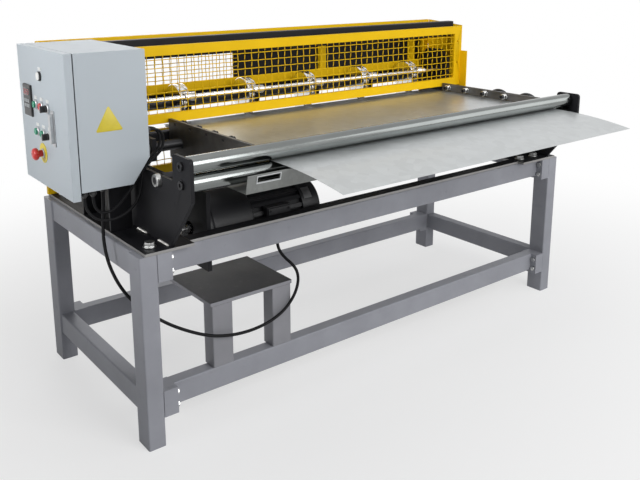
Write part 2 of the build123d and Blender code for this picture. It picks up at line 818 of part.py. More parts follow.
# Bead shafts with their wheels, bearings and timing gears
gear_pitch_radius = shaft_spread / 2
gear_root = gear_pitch_radius - gear_dedendum
gear_tip = gear_pitch_radius + gear_addendum
for name, shaft_z, shaft_start, phase in (
        ("lower", lower_shaft_z, drive_shaft_start, pi / 2),
        ("upper", upper_shaft_z, gear_x - short_stub, -pi / 2 + pi / gear_teeth)):
    shaft = bar_x(shaft_start, cheek_right_outer - shaft_end_gap, shaft_y, shaft_z, shaft_diameter)
    gear = gear_sketch(gear_teeth, gear_root, gear_tip, gear_root_share, gear_tip_share, phase)
    add(name + "_bead_shaft", chamfer(shaft.edges(), shaft_chamfer),
        toothed_wheel(gear_x, gear_width, shaft_y, shaft_z, gear, shaft_bore))
    for station_x in station_xs:
        x0 = station_x - bead_wheel_width / 2
        x1 = station_x + bead_wheel_width / 2
        wheel = bar_x(x0, x1, shaft_y, shaft_z, 2 * bead_wheel_radius)
        wheel = chamfer(wheel.edges(), bead_wheel_chamfer)
        if name == "lower":
            wheel = wheel + bar_x(station_x - bead_ridge_width / 2, station_x + bead_ridge_width / 2,
                                  shaft_y, shaft_z, 2 * (bead_wheel_radius + bead_ridge))
        else:
            groove = bar_x(station_x - bead_groove_width / 2, station_x + bead_groove_width / 2,
                           shaft_y, shaft_z, 2 * (bead_wheel_radius + cut_over))
            core = bar_x(x0, x1, shaft_y, shaft_z, 2 * (bead_wheel_radius - bead_groove))
            wheel = wheel - (groove - core)
        add(name + "_bead_wheels", wheel - hole_x(x0, x1, shaft_y, shaft_z, shaft_bore))
    for x0 in (cheek_left_inner, cheek_right - bearing_thickness):
        x1 = x0 + bearing_thickness
        housing = chamfer(bar_x(x0, x1, shaft_y, shaft_z, bearing_diameter).edges(), bearing_chamfer)
        add("bead_bearings", housing - hole_x(x0, x1, shaft_y, shaft_z, shaft_bore))

# Chain drive from the gear motor to the lower bead shaft
driven_radius = chain_pitch / (2 * sin(pi / driven_teeth))
drive_radius = chain_pitch / (2 * sin(pi / drive_teeth))
for name, teeth, radius, y, z, bore in (
        ("lower_bead_shaft", driven_teeth, driven_radius, shaft_y, lower_shaft_z, shaft_bore),
        ("drive_shaft", drive_teeth, drive_radius, motor_y, motor_z, drive_bore)):
    sprocket = gear_sketch(teeth, radius - sprocket_root, radius + sprocket_tooth, sprocket_root_share,
                           sprocket_tip_share, 0)
    add(name, toothed_wheel(sprocket_x, sprocket_width, y, z, sprocket, bore))
add("drive_shaft", bar_x(drive_shaft_start, reducer_housing_x, motor_y, motor_z, drive_shaft_diameter))


def chain_outline(offset):
    circles = [Pos(shaft_y, lower_shaft_z) * Circle(driven_radius + offset),
               Pos(motor_y, motor_z) * Circle(drive_radius + offset)]
    return make_hull(circles[0].edges() + circles[1].edges())


band = chain_outline(chain_half_height) - chain_outline(-chain_half_height)
chain = extrude(Plane.YZ.offset(near_plate_x) * band, amount=chain_plate)
chain = chain + extrude(Plane.YZ.offset(far_plate_x) * band, amount=chain_plate)
run_y = shaft_y - motor_y
run_z = lower_shaft_z - motor_z
centre_distance = sqrt(run_y ** 2 + run_z ** 2)
lean = atan2(run_z, run_y)
radius_step = driven_radius - drive_radius
run_length = sqrt(centre_distance ** 2 - radius_step ** 2)
splay = atan2(radius_step, run_length)
pin_count = int(run_length / chain_pitch - 2 * chain_free_links) + 1
for side in (1, -1):
    normal = lean + side * (pi / 2 + splay)
    along = lean + side * splay
    for index in range(pin_count):
        reach = (index + chain_free_links) * chain_pitch
        pin_y = motor_y + drive_radius * cos(normal) + reach * cos(along)
        pin_z = motor_z + drive_radius * sin(normal) + reach * sin(along)
        chain = chain + bar_x(near_plate_x, far_plate_x + chain_plate, pin_y, pin_z, chain_pin)
add("drive_chain", chain)

# Hood over the gears and the upper sprocket, open to the cheek and for the chain
cover_front = shaft_y - cover_front_reach
cover_bottom = pass_height - cover_drop
cover_top = pass_height + cover_rise
cover = block(sprocket_x - cover_reach, cheek_left, cover_front, rear_guard_front, cover_bottom, cover_top)
cover = fillet(cover.edges().filter_by(Axis.X), cover_round)
hollow = block(sprocket_x - cover_reach + cover_wall, cheek_left + cut_over, cover_front + cover_wall,
               rear_guard_front - cover_wall, cover_bottom + cover_wall, cover_top - cover_wall)
cover = cover - fillet(hollow.edges().filter_by(Axis.X), cover_round - cover_wall)
add("gear_cover", cover - block(
    near_plate_x - cover_slot_margin, far_plate_x + chain_plate + cover_slot_margin, cover_front - cut_over,
    shaft_y, cover_bottom - cut_over, pass_height - cover_slot_drop))

# Gear motor on the left cheek, with a terminal box on its front
reducer = bar_x(reducer_housing_x, reducer_end, motor_y, motor_z, reducer_diameter)
reducer = fillet(reducer.edges(), reducer_round)
reducer = reducer + bar_x(cheek_left_inner, reducer_housing_x, motor_y, motor_z, reducer_flange)
add("gear_reducer", reducer - bar_x(cheek_left, reducer_housing_x, motor_y, motor_z, drive_bore))
fins = gear_sketch(motor_fin_count, motor_core_radius, motor_fin_radius, motor_fin_share, motor_fin_share,
                   pi / 2)
motor = extrude(Plane.YZ.offset(reducer_end) * (Pos(motor_y, motor_z) * fins), amount=motor_length)
terminal_box = block(terminal_x, terminal_end, terminal_front, motor_y, terminal_bottom,
                     terminal_bottom + terminal_height)
seat = bar_x(terminal_x, terminal_end, motor_y, motor_z, 2 * (motor_core_radius - terminal_seat))
add("motor_body", motor - terminal_box + seat)
add("motor_body", terminal_box - hole_x(terminal_x, terminal_end, motor_y, motor_z,
                                        2 * (motor_fin_radius + slip_clearance)))
fan = bar_x(motor_end, fan_end, motor_y, motor_z, fan_cover_diameter)
fan = fillet(fan.edges().sort_by(Axis.X)[-1], fan_cover_round)
hollow = bar_x(motor_end + fan_cover_wall, fan_end - fan_cover_wall, motor_y, motor_z,
               fan_cover_diameter - 2 * fan_cover_wall)
fan = fan - fillet(hollow.edges().sort_by(Axis.X)[-1], fan_cover_round - fan_cover_wall)
fan = fan - bar_x(motor_end - cut_over, motor_end + 2 * fan_cover_wall, motor_y, motor_z,
                  fan_cover_diameter - 2 * fan_cover_lip)
for ring_radius, hole_count in zip(fan_ring_radii, fan_ring_holes):
    for index in range(hole_count):
        angle = 2 * pi * index / hole_count
        fan = fan - hole_x(fan_end - 2 * fan_cover_wall, fan_end, motor_y + ring_radius * cos(angle),
                           motor_z + ring_radius * sin(angle), fan_hole)
add("fan_cover", fan)

# Hold-down rod with collars and lead-in fingers
add("hold_down_rod", bar_x(cheek_left + rod_end_gap, cheek_right_outer - rod_end_gap, rod_y, rod_z,
                           rod_diameter))
finger_front = rod_y - finger_front_reach
finger_front_z = pass_height + finger_front_rise
finger_tip = rod_y + finger_tip_reach
finger_tip_z = pass_height + finger_tip_rise
shoe_points = [
    (finger_front, finger_front_z), (finger_tip, finger_tip_z + finger_thickness),
    (finger_tip, finger_tip_z), (finger_front, finger_front_z - finger_thickness)]
shoe_slope = (finger_front_z - finger_tip_z - finger_thickness) / (finger_tip - finger_front)
arm_foot_z = finger_front_z - shoe_slope * finger_front_reach
arm_points = [
    (rod_y - finger_arm, rod_z), (rod_y + finger_arm, rod_z),
    (rod_y + 2 * finger_arm, arm_foot_z - 2 * finger_arm * shoe_slope), (rod_y, arm_foot_z)]
for station_x in station_xs:
    x0 = station_x - collar_length / 2
    x1 = station_x + collar_length / 2
    collar = chamfer(bar_x(x0, x1, rod_y, rod_z, collar_diameter).edges(), collar_chamfer)
    add("hold_down_rod", collar - hole_x(x0, x1, rod_y, rod_z, rod_diameter + 2 * running_clearance))
    shoe = plate_x(shoe_points, station_x - finger_width / 2, station_x + finger_width / 2)
    arm = plate_x(arm_points, station_x - finger_arm / 2, station_x + finger_arm / 2)
    add("lead_in_fingers", shoe, arm - bar_x(x0, x1, rod_y, rod_z, collar_diameter))

# Guard: framed nets in front and behind, end plates, top beam and rear panels above the sheet's way out
net_left = guard_left + guard_post
net_right = guard_right - guard_post
net_low = guard_bottom + guard_bar
net_high = guard_top - guard_bar
front_frame = block(guard_left, guard_right, guard_front, guard_back, guard_bottom, guard_top)
front_frame = front_frame - block(net_left, net_right, guard_front - cut_over, guard_back + cut_over,
                                  net_low, net_high)
for hole_x_place in (guard_left + guard_post / 2, guard_right - guard_post / 2):
    for hole_z in (guard_bottom + 3 * guard_bar, guard_top - 2 * guard_bar):
        hole = Rot(90, 0, 0) * Cylinder(guard_hole / 2, 4 * guard_thickness)
        front_frame = front_frame - Pos(hole_x_place, guard_front, hole_z) * hole
add("front_guard_frame", front_frame)
net_inset = (guard_thickness - mesh_thickness) / 2
add("guard_nets", net_panel(net_left, net_right, guard_front + net_inset, net_low, net_high))
rear_mid_top = rear_mid_bottom + guard_bar
rear_bar_low = rear_top - guard_bar
rear_low_top = rear_low_bottom + guard_bar
sill_bottom = exit_sill - guard_bar
for left, right in ((guard_left, net_left), (net_right, guard_right)):
    add("rear_guard_frame", block(left, right, rear_guard_front, rear_guard_back, base_top, rear_top))
for low in (rear_low_bottom, sill_bottom, rear_mid_bottom, rear_bar_low):
    add("rear_guard_frame",
        block(net_left, net_right, rear_guard_front, rear_guard_back, low, low + guard_bar))
for inset in rear_post_insets:
    post_middle = stand_length - inset
    add("rear_guard_frame", block(post_middle - rear_post_width / 2, post_middle + rear_post_width / 2,
                                  rear_guard_front, rear_guard_back, rear_mid_top, rear_bar_low))
rear_net_front = rear_guard_front + net_inset
add("guard_nets",
    net_panel(net_left, rear_panel_left + rear_panel_overlap, rear_net_front, rear_mid_top, rear_bar_low),
    net_panel(net_left, net_right, rear_net_front, rear_low_top, sill_bottom))
end_points = [
    (guard_front - end_plate_wing, pass_height - end_plate_drop),
    (rear_guard_front, pass_height - end_plate_drop), (rear_guard_front, rear_top),
    (guard_front, pass_height + end_plate_rise), (guard_front, pass_height + end_plate_wing_rise),
    (guard_front - end_plate_wing, pass_height + end_plate_wing_rise)]
for x0 in (guard_left - end_plate_thickness, guard_right):
    add("guard_end_plates", plate_x(end_points, x0, x0 + end_plate_thickness))
beam_y = guard_front + beam_gap
beam_bottom = pass_height + beam_rise
add("guard_beam_and_panel", square_tube(guard_left, guard_right, beam_y, beam_y + beam_depth, beam_bottom,
                                        beam_bottom + beam_height, Axis.X, cover_wall))
for left, low, high in ((rear_panel_left, rear_mid_top - rear_panel_overlap, rear_bar_low),
                        (net_left - rear_panel_overlap, exit_top, rear_mid_bottom)):
    add("guard_beam_and_panel", block(
        left, net_right + rear_panel_overlap, rear_guard_back, rear_guard_back + rear_panel_thickness, low,
        high + rear_panel_overlap))

# Control cabinet with a cut lower corner, on a bracket
cabinet_points = [
    (cabinet_left, cabinet_bottom), (cabinet_right - cabinet_cut_x, cabinet_bottom),
    (cabinet_right, cabinet_bottom + cabinet_cut_z), (cabinet_right, cabinet_top),
    (cabinet_left, cabinet_top)]
cut_angle = atan2(cabinet_cut_z, cabinet_cut_x)
inset_low = cabinet_wall * tan(cut_angle / 2)
inset_side = cabinet_wall * tan(pi / 4 - cut_angle / 2)
inner_points = [
    (cabinet_left - cut_over, cabinet_bottom + cabinet_wall),
    (cabinet_right - cabinet_cut_x - inset_low, cabinet_bottom + cabinet_wall),
    (cabinet_right - cabinet_wall, cabinet_bottom + cabinet_cut_z + inset_side),
    (cabinet_right - cabinet_wall, cabinet_top - cabinet_wall),
    (cabinet_left - cut_over, cabinet_top - cabinet_wall)]
body_depth = cabinet_rear - cabinet_front
outer_face = Plane.XZ.offset(-cabinet_rear) * make_face(Polyline(*cabinet_points, close=True))
inner_face = Plane.XZ.offset(cabinet_wall - cabinet_rear) * make_face(Polyline(*inner_points, close=True))
add("cabinet_body", extrude(outer_face, amount=body_depth)
    - extrude(inner_face, amount=body_depth - 2 * cabinet_wall))


def on_door(shares):
    across, up = shares
    return cabinet_front + across * body_depth, door_bottom + up * (cabinet_top - door_bottom)


button_places = [on_door((column, row)) for row in (upper_row_share, lower_row_share)
                 for column in column_shares]
stop_place = on_door(stop_shares)
latch_y, latch_top = on_door(latch_shares)
latch_mid = latch_top - latch_pin_drop
latch_bore = latch_pin + 2 * slip_clearance
button_bore = button_diameter + 2 * slip_clearance
door = block(door_face, door_back, cabinet_front, cabinet_rear, door_bottom, cabinet_top)
door = fillet(door.edges().group_by(Axis.X)[0], door_round)
door = door - block(door_inside, door_back + cut_over, cabinet_front + cabinet_wall,
                    cabinet_rear - cabinet_wall, door_bottom + cabinet_wall, cabinet_top - cabinet_wall)
for y, z in (*button_places, stop_place):
    door = door - hole_x(door_face, door_inside, y, z, button_bore)
door = door - hole_x(door_face, door_inside, latch_y, latch_mid, latch_bore)
hinge_x = cabinet_left - door_gap / 2
hinge_y = cabinet_rear + hinge_barrel / 2
leaf_back = cabinet_rear + hinge_leaf_thickness
for hinge_low in (cabinet_bottom + hinge_inset, cabinet_top - hinge_inset - 2 * hinge_half):
    hinge_mid = hinge_low + hinge_half
    hinge_high = hinge_mid + hinge_half
    pin_bore = bar_z(hinge_x, hinge_y, hinge_low - cut_over, hinge_high + cut_over,
                     hinge_pin + 2 * running_clearance)
    fixed = block(hinge_x, hinge_x + hinge_leaf, cabinet_rear, leaf_back, hinge_low, hinge_mid)
    fixed = fixed + bar_z(hinge_x, hinge_y, hinge_low, hinge_mid - slip_clearance, hinge_barrel)
    add("cabinet_body", fixed - pin_bore, bar_z(hinge_x, hinge_y, hinge_low, hinge_high, hinge_pin))
    swung = block(hinge_x - hinge_leaf, hinge_x, cabinet_rear, leaf_back, hinge_mid, hinge_high)
    swung = swung + bar_z(hinge_x, hinge_y, hinge_mid, hinge_high, hinge_barrel)
    door = door + (swung - pin_bore)
add("cabinet_door", door)

bracket_near = cabinet_front + cabinet_bracket_front_gap
bracket_far = cabinet_rear - cabinet_bracket_rear_gap
bracket_top = cabinet_bottom - cabinet_bracket_plate
bracket_end = cabinet_bracket_left + cabinet_bracket_width
web_end = min(bracket_end, bracket_left - base_thickness)
stand_off = block(cabinet_bracket_left, bracket_end, bracket_near, bracket_far, bracket_top, cabinet_bottom)
for y0 in (bracket_near, bracket_far - cabinet_bracket_plate):
    stand_off = stand_off + block(cabinet_bracket_left, web_end, y0, y0 + cabinet_bracket_plate, base_top,
                                  bracket_top)
add("cabinet_bracket", stand_off)

# Mounting plate with the switchgear inside the cabinet
plate_face = cabinet_right - cabinet_wall - mount_plate_gap
plate_low = cabinet_bottom + cabinet_cut_z + mount_plate_margin
plate_high = cabinet_top - cabinet_wall - mount_plate_margin
plate_near = cabinet_front + cabinet_wall + mount_plate_margin
plate_far = cabinet_rear - cabinet_wall - mount_plate_margin
mounting = block(plate_face, plate_face + cabinet_wall, plate_near, plate_far, plate_low, plate_high)
for y in (plate_near + mount_plate_margin, plate_far - mount_plate_margin):
    for z in (plate_low + mount_plate_margin, plate_high - mount_plate_margin):
        mounting = mounting + bar_x(plate_face + cabinet_wall, cabinet_right - cabinet_wall, y, z,
                                    mount_plate_spacer)
add("switchgear", mounting)
device_count = len(device_depths)
device_span = plate_far - plate_near - 2 * device_margin
device_width = (device_span - (device_count - 1) * device_gap) / device_count
device_height = (plate_high - plate_low - 2 * device_margin - device_row_gap) / 2
for row in range(2):
    z0 = plate_low + device_margin + row * (device_height + device_row_gap)
    for index, depth in enumerate(device_depths):
        y0 = plate_near + device_margin + index * (device_width + device_gap)
        device = block(plate_face - depth + device_row_step * row, plate_face, y0, y0 + device_width, z0,
                       z0 + device_height)
        add("switchgear", chamfer(device.edges().group_by(Axis.X)[0], device_chamfer))

# Door fittings: bezels, stop disc, lamp, counter display and latch base
for y, z in (*button_places, stop_place):
    ring = bar_x(door_face - button_bezel_height, door_face, y, z, button_bezel)
    ring = chamfer(ring.edges().group_by(Axis.X)[0], button_bezel_chamfer)
    add("door_fittings", ring - hole_x(door_face - button_bezel_height, door_face, y, z, button_bore))
disc = bar_x(door_face - stop_disc_thickness, door_face, *stop_place, stop_disc)
add("stop_disc", disc - hole_x(door_face - stop_disc_thickness, door_face, *stop_place,
                               button_bezel + 2 * slip_clearance))
lamp = bar_x(door_face - button_rise, door_face, *on_door(lamp_shares), button_bezel)
add("pilot_lamp", fillet(lamp.edges().group_by(Axis.X)[0], lamp_round))
display_y, display_z = on_door(display_shares)
display = block(door_face - display_rise, door_face, display_y - display_width / 2,
                display_y + display_width / 2, display_z - display_height / 2,
                display_z + display_height / 2)
add("counter_display", chamfer(display.edges().group_by(Axis.X)[0], display_chamfer))
base = block(door_face - latch_base, door_face, latch_y - latch_width / 2, latch_y + latch_width / 2,
             latch_top - latch_height, latch_top)
base = fillet(base.edges().filter_by(Axis.X), latch_base_round)
add("door_fittings", base - hole_x(door_face - latch_base, door_face, latch_y, latch_mid, latch_bore))

# Moving pieces on the door
button_end = door_face + button_depth
button_names = ("start_button", "stop_button", "mode_selector", "jog_forward_button", "jog_reverse_button",
                "feed_selector")
for name, (y, z) in zip(button_names, button_places):
    cap = bar_x(door_face - button_rise, button_end, y, z, button_diameter)
    if name.endswith("button"):
        cap = fillet(cap.edges().group_by(Axis.X)[0], button_round)
    else:
        grip = block(door_face - button_rise - selector_grip_rise, door_face - button_rise,
                     y - selector_grip / 2, y + selector_grip / 2, z - selector_grip_length / 2,
                     z + selector_grip_length / 2)
        cap = cap + fillet(grip.edges().filter_by(Axis.X), selector_grip_round)
    add(name, cap)
head_start = door_face - stop_head_start
head = bar_x(head_start - stop_head_length, head_start, *stop_place, stop_head)
head = fillet(head.edges().group_by(Axis.X)[0], stop_head_round)
add("emergency_stop", head + bar_x(head_start, button_end, *stop_place, button_diameter))
handle_back = door_face - latch_base - slip_clearance
handle_top = latch_mid + latch_handle_width / 2
handle = block(handle_back - latch_handle_thickness, handle_back, latch_y - latch_handle_width / 2,
               latch_y + latch_handle_width / 2, handle_top - latch_handle_length, handle_top)
handle = fillet(handle.edges().filter_by(Axis.X), latch_handle_round)
add("latch_handle", handle + bar_x(handle_back, button_end, latch_y, latch_mid, latch_pin))

# Cable routes: from the cabinet's lower right front corner, and to the gland under the terminal box
cabinet_corner = (cabinet_right, cabinet_front, cabinet_bottom)
motor_gland = (terminal_x + terminal_length / 2, terminal_front + motor_gland_setback,
               terminal_bottom - motor_gland_length)
cabinet_drop_route = [
    (-138, 57, -22), (-138, 57, -62), (-140, 64, -117), (-141, 70, -172), (-140, 62, -222),
    (-137, 44, -267), (-125, 12, -320), (-101, -16, -368), (-58, -26, -416), (0, -46, -468),
    (57, -82, -500), (122, -112, -527)]
motor_rise_route = [
    (-275, -88, -274), (-210, -88, -284), (-145, -88, -284), (-80, -88, -272), (-27, -87, -248),
    (15, -84, -208), (36, -80, -164), (38, -72, -128), (28, -56, -102), (13, -32, -83), (3, -10, -59),
    (0, 0, -30), (0, 0, 0)]
loop_routes = {
    "inner_loop_cable": [
        (22, 37, 158), (47, 37, 158), (65, 36, 140), (67, 35, 110), (52, 32, 82), (17, 29, 60),
        (-19, 26, 28), (-53, 23, -12), (-88, 22, -52), (-128, 22, -82), (-163, 22, -79), (-183, 22, -52),
        (-183, 22, -22)],
    "outer_loop_cable": [
        (22, 72, 158), (49, 72, 158), (69, 71, 138), (71, 68, 106), (55, 63, 80), (23, 55, 62),
        (-6, 44, 41), (-20, 25, -2), (-37, 14, -52), (-75, 10, -88), (-121, 9, -104), (-168, 10, -100),
        (-199, 15, -76), (-210, 22, -48), (-210, 22, -22)]}


def moved_route(corner, route):
    return [Vector(*corner) + Vector(*point) for point in route]


def cable(name, points, diameter):
    radii = []
    for before, here, after in zip(points, points[1:], points[2:]):
        turn = radians((here - before).get_angle(after - here))
        shorter = min((here - before).length, (after - here).length)
        radii.append(arc_share * shorter / tan(turn / 2))
    path = FilletPolyline(*points, radius=radii)
    section = Plane(origin=path @ 0, z_dir=path % 0) * Circle(diameter / 2)
    add(name, sweep(section, path=path))
    print(name, "length", round(path.length, 1), "smallest radius", round(min(radii), 1))


motor_points = moved_route(cabinet_corner, cabinet_drop_route) + moved_route(motor_gland, motor_rise_route)
cable("motor_cable", motor_points, motor_cable_diameter)
bottom_glands = [motor_points[0]]
side_glands = []
for name, route in loop_routes.items():
    loop_points = moved_route(cabinet_corner, route)
    cable(name, loop_points, loop_cable_diameter)
    side_glands.append(loop_points[0])
    bottom_glands.append(loop_points[-1])

# Glands at the cable ends
for place in bottom_glands:
    add("cable_glands", bar_z(place.X, place.Y, place.Z, place.Z + gland_length, gland_diameter))
for place in side_glands:
    add("cable_glands", bar_x(place.X - gland_length, place.X, place.Y, place.Z, gland_diameter))
gland_x, gland_y, gland_z = motor_gland
add("cable_glands", bar_z(gland_x, gland_y, gland_z, terminal_bottom, motor_gland_diameter))

# Origin under the middle of the footprint, cables left out
cord_names = ("motor_cable", "inner_loop_cable", "outer_loop_cable")
boxes = [solid.bounding_box() for name, solids in nodes.items() if name not in cord_names
         for solid in solids]
middle_x = (min(box.min.X for box in boxes) + max(box.max.X for box in boxes)) / 2
middle_y = (min(box.min.Y for box in boxes) + max(box.max.Y for box in boxes)) / 2
os.makedirs("parts", exist_ok=True)
for name, solids in nodes.items():
    pieces = [piece for solid in solids for piece in solid.solids()]
    export_step(Pos(-middle_x, -middle_y, 0) * Compound(children=pieces), f"parts/{name}.step")
print(len(nodes), "nodes, moved by", round(-middle_x, 3), round(-middle_y, 3))
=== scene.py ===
import math

import bmesh
import bpy
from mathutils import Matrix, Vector


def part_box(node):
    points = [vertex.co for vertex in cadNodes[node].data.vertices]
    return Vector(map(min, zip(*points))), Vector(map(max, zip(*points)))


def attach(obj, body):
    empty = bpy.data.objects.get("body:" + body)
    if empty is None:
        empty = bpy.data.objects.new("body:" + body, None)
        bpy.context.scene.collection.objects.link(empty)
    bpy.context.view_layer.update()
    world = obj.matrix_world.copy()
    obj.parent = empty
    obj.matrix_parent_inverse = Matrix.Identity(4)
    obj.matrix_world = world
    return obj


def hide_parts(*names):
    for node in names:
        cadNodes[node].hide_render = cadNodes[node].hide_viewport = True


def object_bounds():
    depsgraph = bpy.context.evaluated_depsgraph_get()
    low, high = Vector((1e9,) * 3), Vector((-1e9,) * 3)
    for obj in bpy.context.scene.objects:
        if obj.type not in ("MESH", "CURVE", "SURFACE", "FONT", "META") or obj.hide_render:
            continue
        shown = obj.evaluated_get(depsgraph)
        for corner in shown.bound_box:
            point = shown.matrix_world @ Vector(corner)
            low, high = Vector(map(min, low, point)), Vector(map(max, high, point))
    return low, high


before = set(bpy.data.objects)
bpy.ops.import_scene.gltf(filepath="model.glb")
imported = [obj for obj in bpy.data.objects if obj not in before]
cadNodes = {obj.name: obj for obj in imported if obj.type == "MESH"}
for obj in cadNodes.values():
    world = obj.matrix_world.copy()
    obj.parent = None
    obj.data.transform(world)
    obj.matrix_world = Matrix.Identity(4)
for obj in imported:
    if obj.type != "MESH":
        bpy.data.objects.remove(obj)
cadLow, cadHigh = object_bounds()
standCorner = Vector(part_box("legs")[0])  # front left corner of the stand, on the floor
millimetres = 1000  # in a metre
print("frame loaded,", len(cadNodes), "nodes")


class Values(dict):  # a dictionary whose values are read as names
    __getattr__ = dict.__getitem__


def atStand(x, y, z):  # millimetres from the stand's corner
    return standCorner + Vector((x, y, z)) / millimetres


def nodeBox(name):
    low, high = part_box(name)
    return Vector(low), Vector(high)


def nodeMiddle(name):
    low, high = nodeBox(name)
    return (low + high) / 2


def doorFitting(name):  # middle of a fitting's root in the door, and how far it reaches
    low, high = nodeBox(name)
    return Vector((high.x, (low.y + high.y) / 2, (low.z + high.z) / 2)), high.x - low.x


class Wire:  # a shader socket that can stand in a sum
    def __init__(self, shader, socket):
        self.shader = shader
        self.socket = socket

    def join(self, operation, first, second):
        return self.shader.add("ShaderNodeMath", {"operation": operation}, {0: first, 1: second})

    def __add__(self, other):
        return self.join("ADD", self, other)

    def __radd__(self, other):
        return self.join("ADD", other, self)

    def __sub__(self, other):
        return self.join("SUBTRACT", self, other)

    def __rsub__(self, other):
        return self.join("SUBTRACT", other, self)

    def __mul__(self, other):
        return self.join("MULTIPLY", self, other)

    def __rmul__(self, other):
        return self.join("MULTIPLY", other, self)

    def swing(self, share):  # a noise value swung about its middle
        return (self - 0.5) * share


class Shader:  # the nodes of one material or of the world
    def __init__(self, owner):
        owner.use_nodes = True
        self.tree = owner.node_tree
        self.tree.nodes.clear()

    def add(self, kind, settings, sockets, out=0):
        made = self.tree.nodes.new(kind)
        for key, value in settings.items():
            if key == "stops":
                for stop, (position, grey) in zip(made.color_ramp.elements, value):
                    stop.position = position
                    stop.color = (grey, grey, grey, 1)
            else:
                setattr(made, key, value)
        for key, value in sockets.items():
            if isinstance(value, Wire):
                self.tree.links.new(value.socket, made.inputs[key])
            else:
                made.inputs[key].default_value = value
        return Wire(self, made.outputs[out]) if made.outputs else None

    def place(self):
        return self.add("ShaderNodeTexCoord", {}, {}, "Object")

    def upward(self):  # 1 on faces that look up, -1 on faces that look down
        facing = self.add("ShaderNodeTexCoord", {}, {}, "Normal")
        return self.add("ShaderNodeSeparateXYZ", {}, {"Vector": facing}, "Z")

    def noise(self, scale, detail, stretch=(1, 1, 1), breakup=0.55):
        where = self.add("ShaderNodeMapping", {}, {"Vector": self.place(), "Scale": stretch})
        sockets = {"Vector": where, "Scale": scale, "Detail": detail, "Roughness": breakup}
        return self.add("ShaderNodeTexNoise", {}, sockets)

    def steps(self, value, low, high):  # 0 below low, 1 above high
        return self.add("ShaderNodeValToRGB", {"stops": ((low, 0), (high, 1))}, {"Fac": value})

    def blend(self, share, first, second):  # sockets 6 and 7 and output 2 are those for colours
        return self.add("ShaderNodeMix", {"data_type": "RGBA"}, {0: share, 6: first, 7: second}, 2)

    def shades(self, share, colour, darker, lighter=None):
        lighter = darker if lighter is None else lighter
        return self.blend(share, tone(colour, 1 - darker), tone(colour, 1 + lighter))

    def bump(self, height, strength, distance):
        return self.add("ShaderNodeBump", {}, {"Height": height, "Strength": strength, "Distance": distance})


def tone(colour, factor=1.0):
    return tuple(min(1, channel * factor) for channel in colour) + (1,)


# Painted steel: clouded colour, fine grain and darker marks
paintBase = dict(metallic=0.0, coat=0.0, coatRoughness=0.25, cloudDetail=4, cloudEdges=(0.3, 0.7),
                 cloudRough=0.2, markFineness=6, markDetail=6, markEdges=(0.62, 0.78), markRough=0.12,
                 grainDetail=2, grainDepth=0.0006)
paints = {
    "standPaint": dict(colour=(0.29, 0.295, 0.325), spread=0.1, roughness=0.45, metallic=0.08, shine=0.12,
                       cloudScale=5, grainScale=900, grainBump=0.06, marks=0.25,
                       markColour=(0.16, 0.16, 0.17)),
    "blackPaint": dict(colour=(0.011, 0.011, 0.013), spread=0.2, roughness=0.5, shine=0.15, cloudScale=7,
                       grainScale=700, grainBump=0.1, marks=0.2, markColour=(0.03, 0.03, 0.034)),
    "guardYellow": dict(colour=(0.86, 0.53, 0.004), spread=0.05, roughness=0.45, shine=0.14, cloudScale=6,
                        grainScale=800, grainBump=0.06, marks=0.15, markColour=(0.5, 0.28, 0.008)),
    "cabinetPaint": dict(colour=(0.455, 0.5, 0.535), spread=0.02, roughness=0.5, shine=0.35, cloudScale=4,
                         grainScale=1400, grainBump=0.14, marks=0.05, markColour=(0.42, 0.46, 0.48)),
    "motorPaint": dict(colour=(0.009, 0.009, 0.011), spread=0.25, roughness=0.44, coat=0.04, shine=0.35,
                       cloudScale=9, grainScale=420, grainBump=0.2, marks=0.2,
                       markColour=(0.03, 0.03, 0.035)),
}


def paintedFinish(shader, look):
    clouds = shader.noise(look.cloudScale, look.cloudDetail)
    grains = shader.noise(look.grainScale, look.grainDetail)
    scratches = shader.noise(look.cloudScale * look.markFineness, look.markDetail)
    marks = shader.steps(scratches, *look.markEdges)
    cloudShare = shader.steps(clouds, *look.cloudEdges)
    colour = shader.shades(cloudShare, look.colour, look.spread)
    colour = shader.blend(marks * look.marks, colour, tone(look.markColour))
    rough = look.roughness + clouds.swing(look.cloudRough) + marks * look.markRough
    return {"Base Color": colour, "Roughness": rough, "Metallic": look.metallic, "Coat Weight": look.coat,
            "Coat Roughness": look.coatRoughness, "Specular IOR Level": look.shine,
            "Normal": shader.bump(grains, look.grainBump, look.grainDepth)}


# Plates painted on the flats with bare edges
edgedBase = dict(upEdges=(0.45, 0.55), cloudDetail=5, cloudRough=0.25, paintSpread=0.25, edgeDarker=0.2,
                 edgeLighter=0.15, scuffFineness=5, scuffDetail=6, scuffEdges=(0.58, 0.75), grainDetail=2,
                 grainDepth=0.0006)
edged = {
    "basePlate": dict(colour=(0.01, 0.01, 0.012), roughness=0.55, shine=0.14, cloudScale=8, grainScale=500,
                      grainBump=0.15, marks=0.3, markColour=(0.03, 0.03, 0.034),
                      edgeColour=(0.3, 0.295, 0.29), edgeMetal=0.6),
    "shelfPlate": dict(colour=(0.03, 0.03, 0.034), roughness=0.5, shine=0.4, cloudScale=9, grainScale=420,
                       grainBump=0.25, marks=0.35, markColour=(0.08, 0.08, 0.085),
                       edgeColour=(0.24, 0.24, 0.26), edgeMetal=0.2),
}


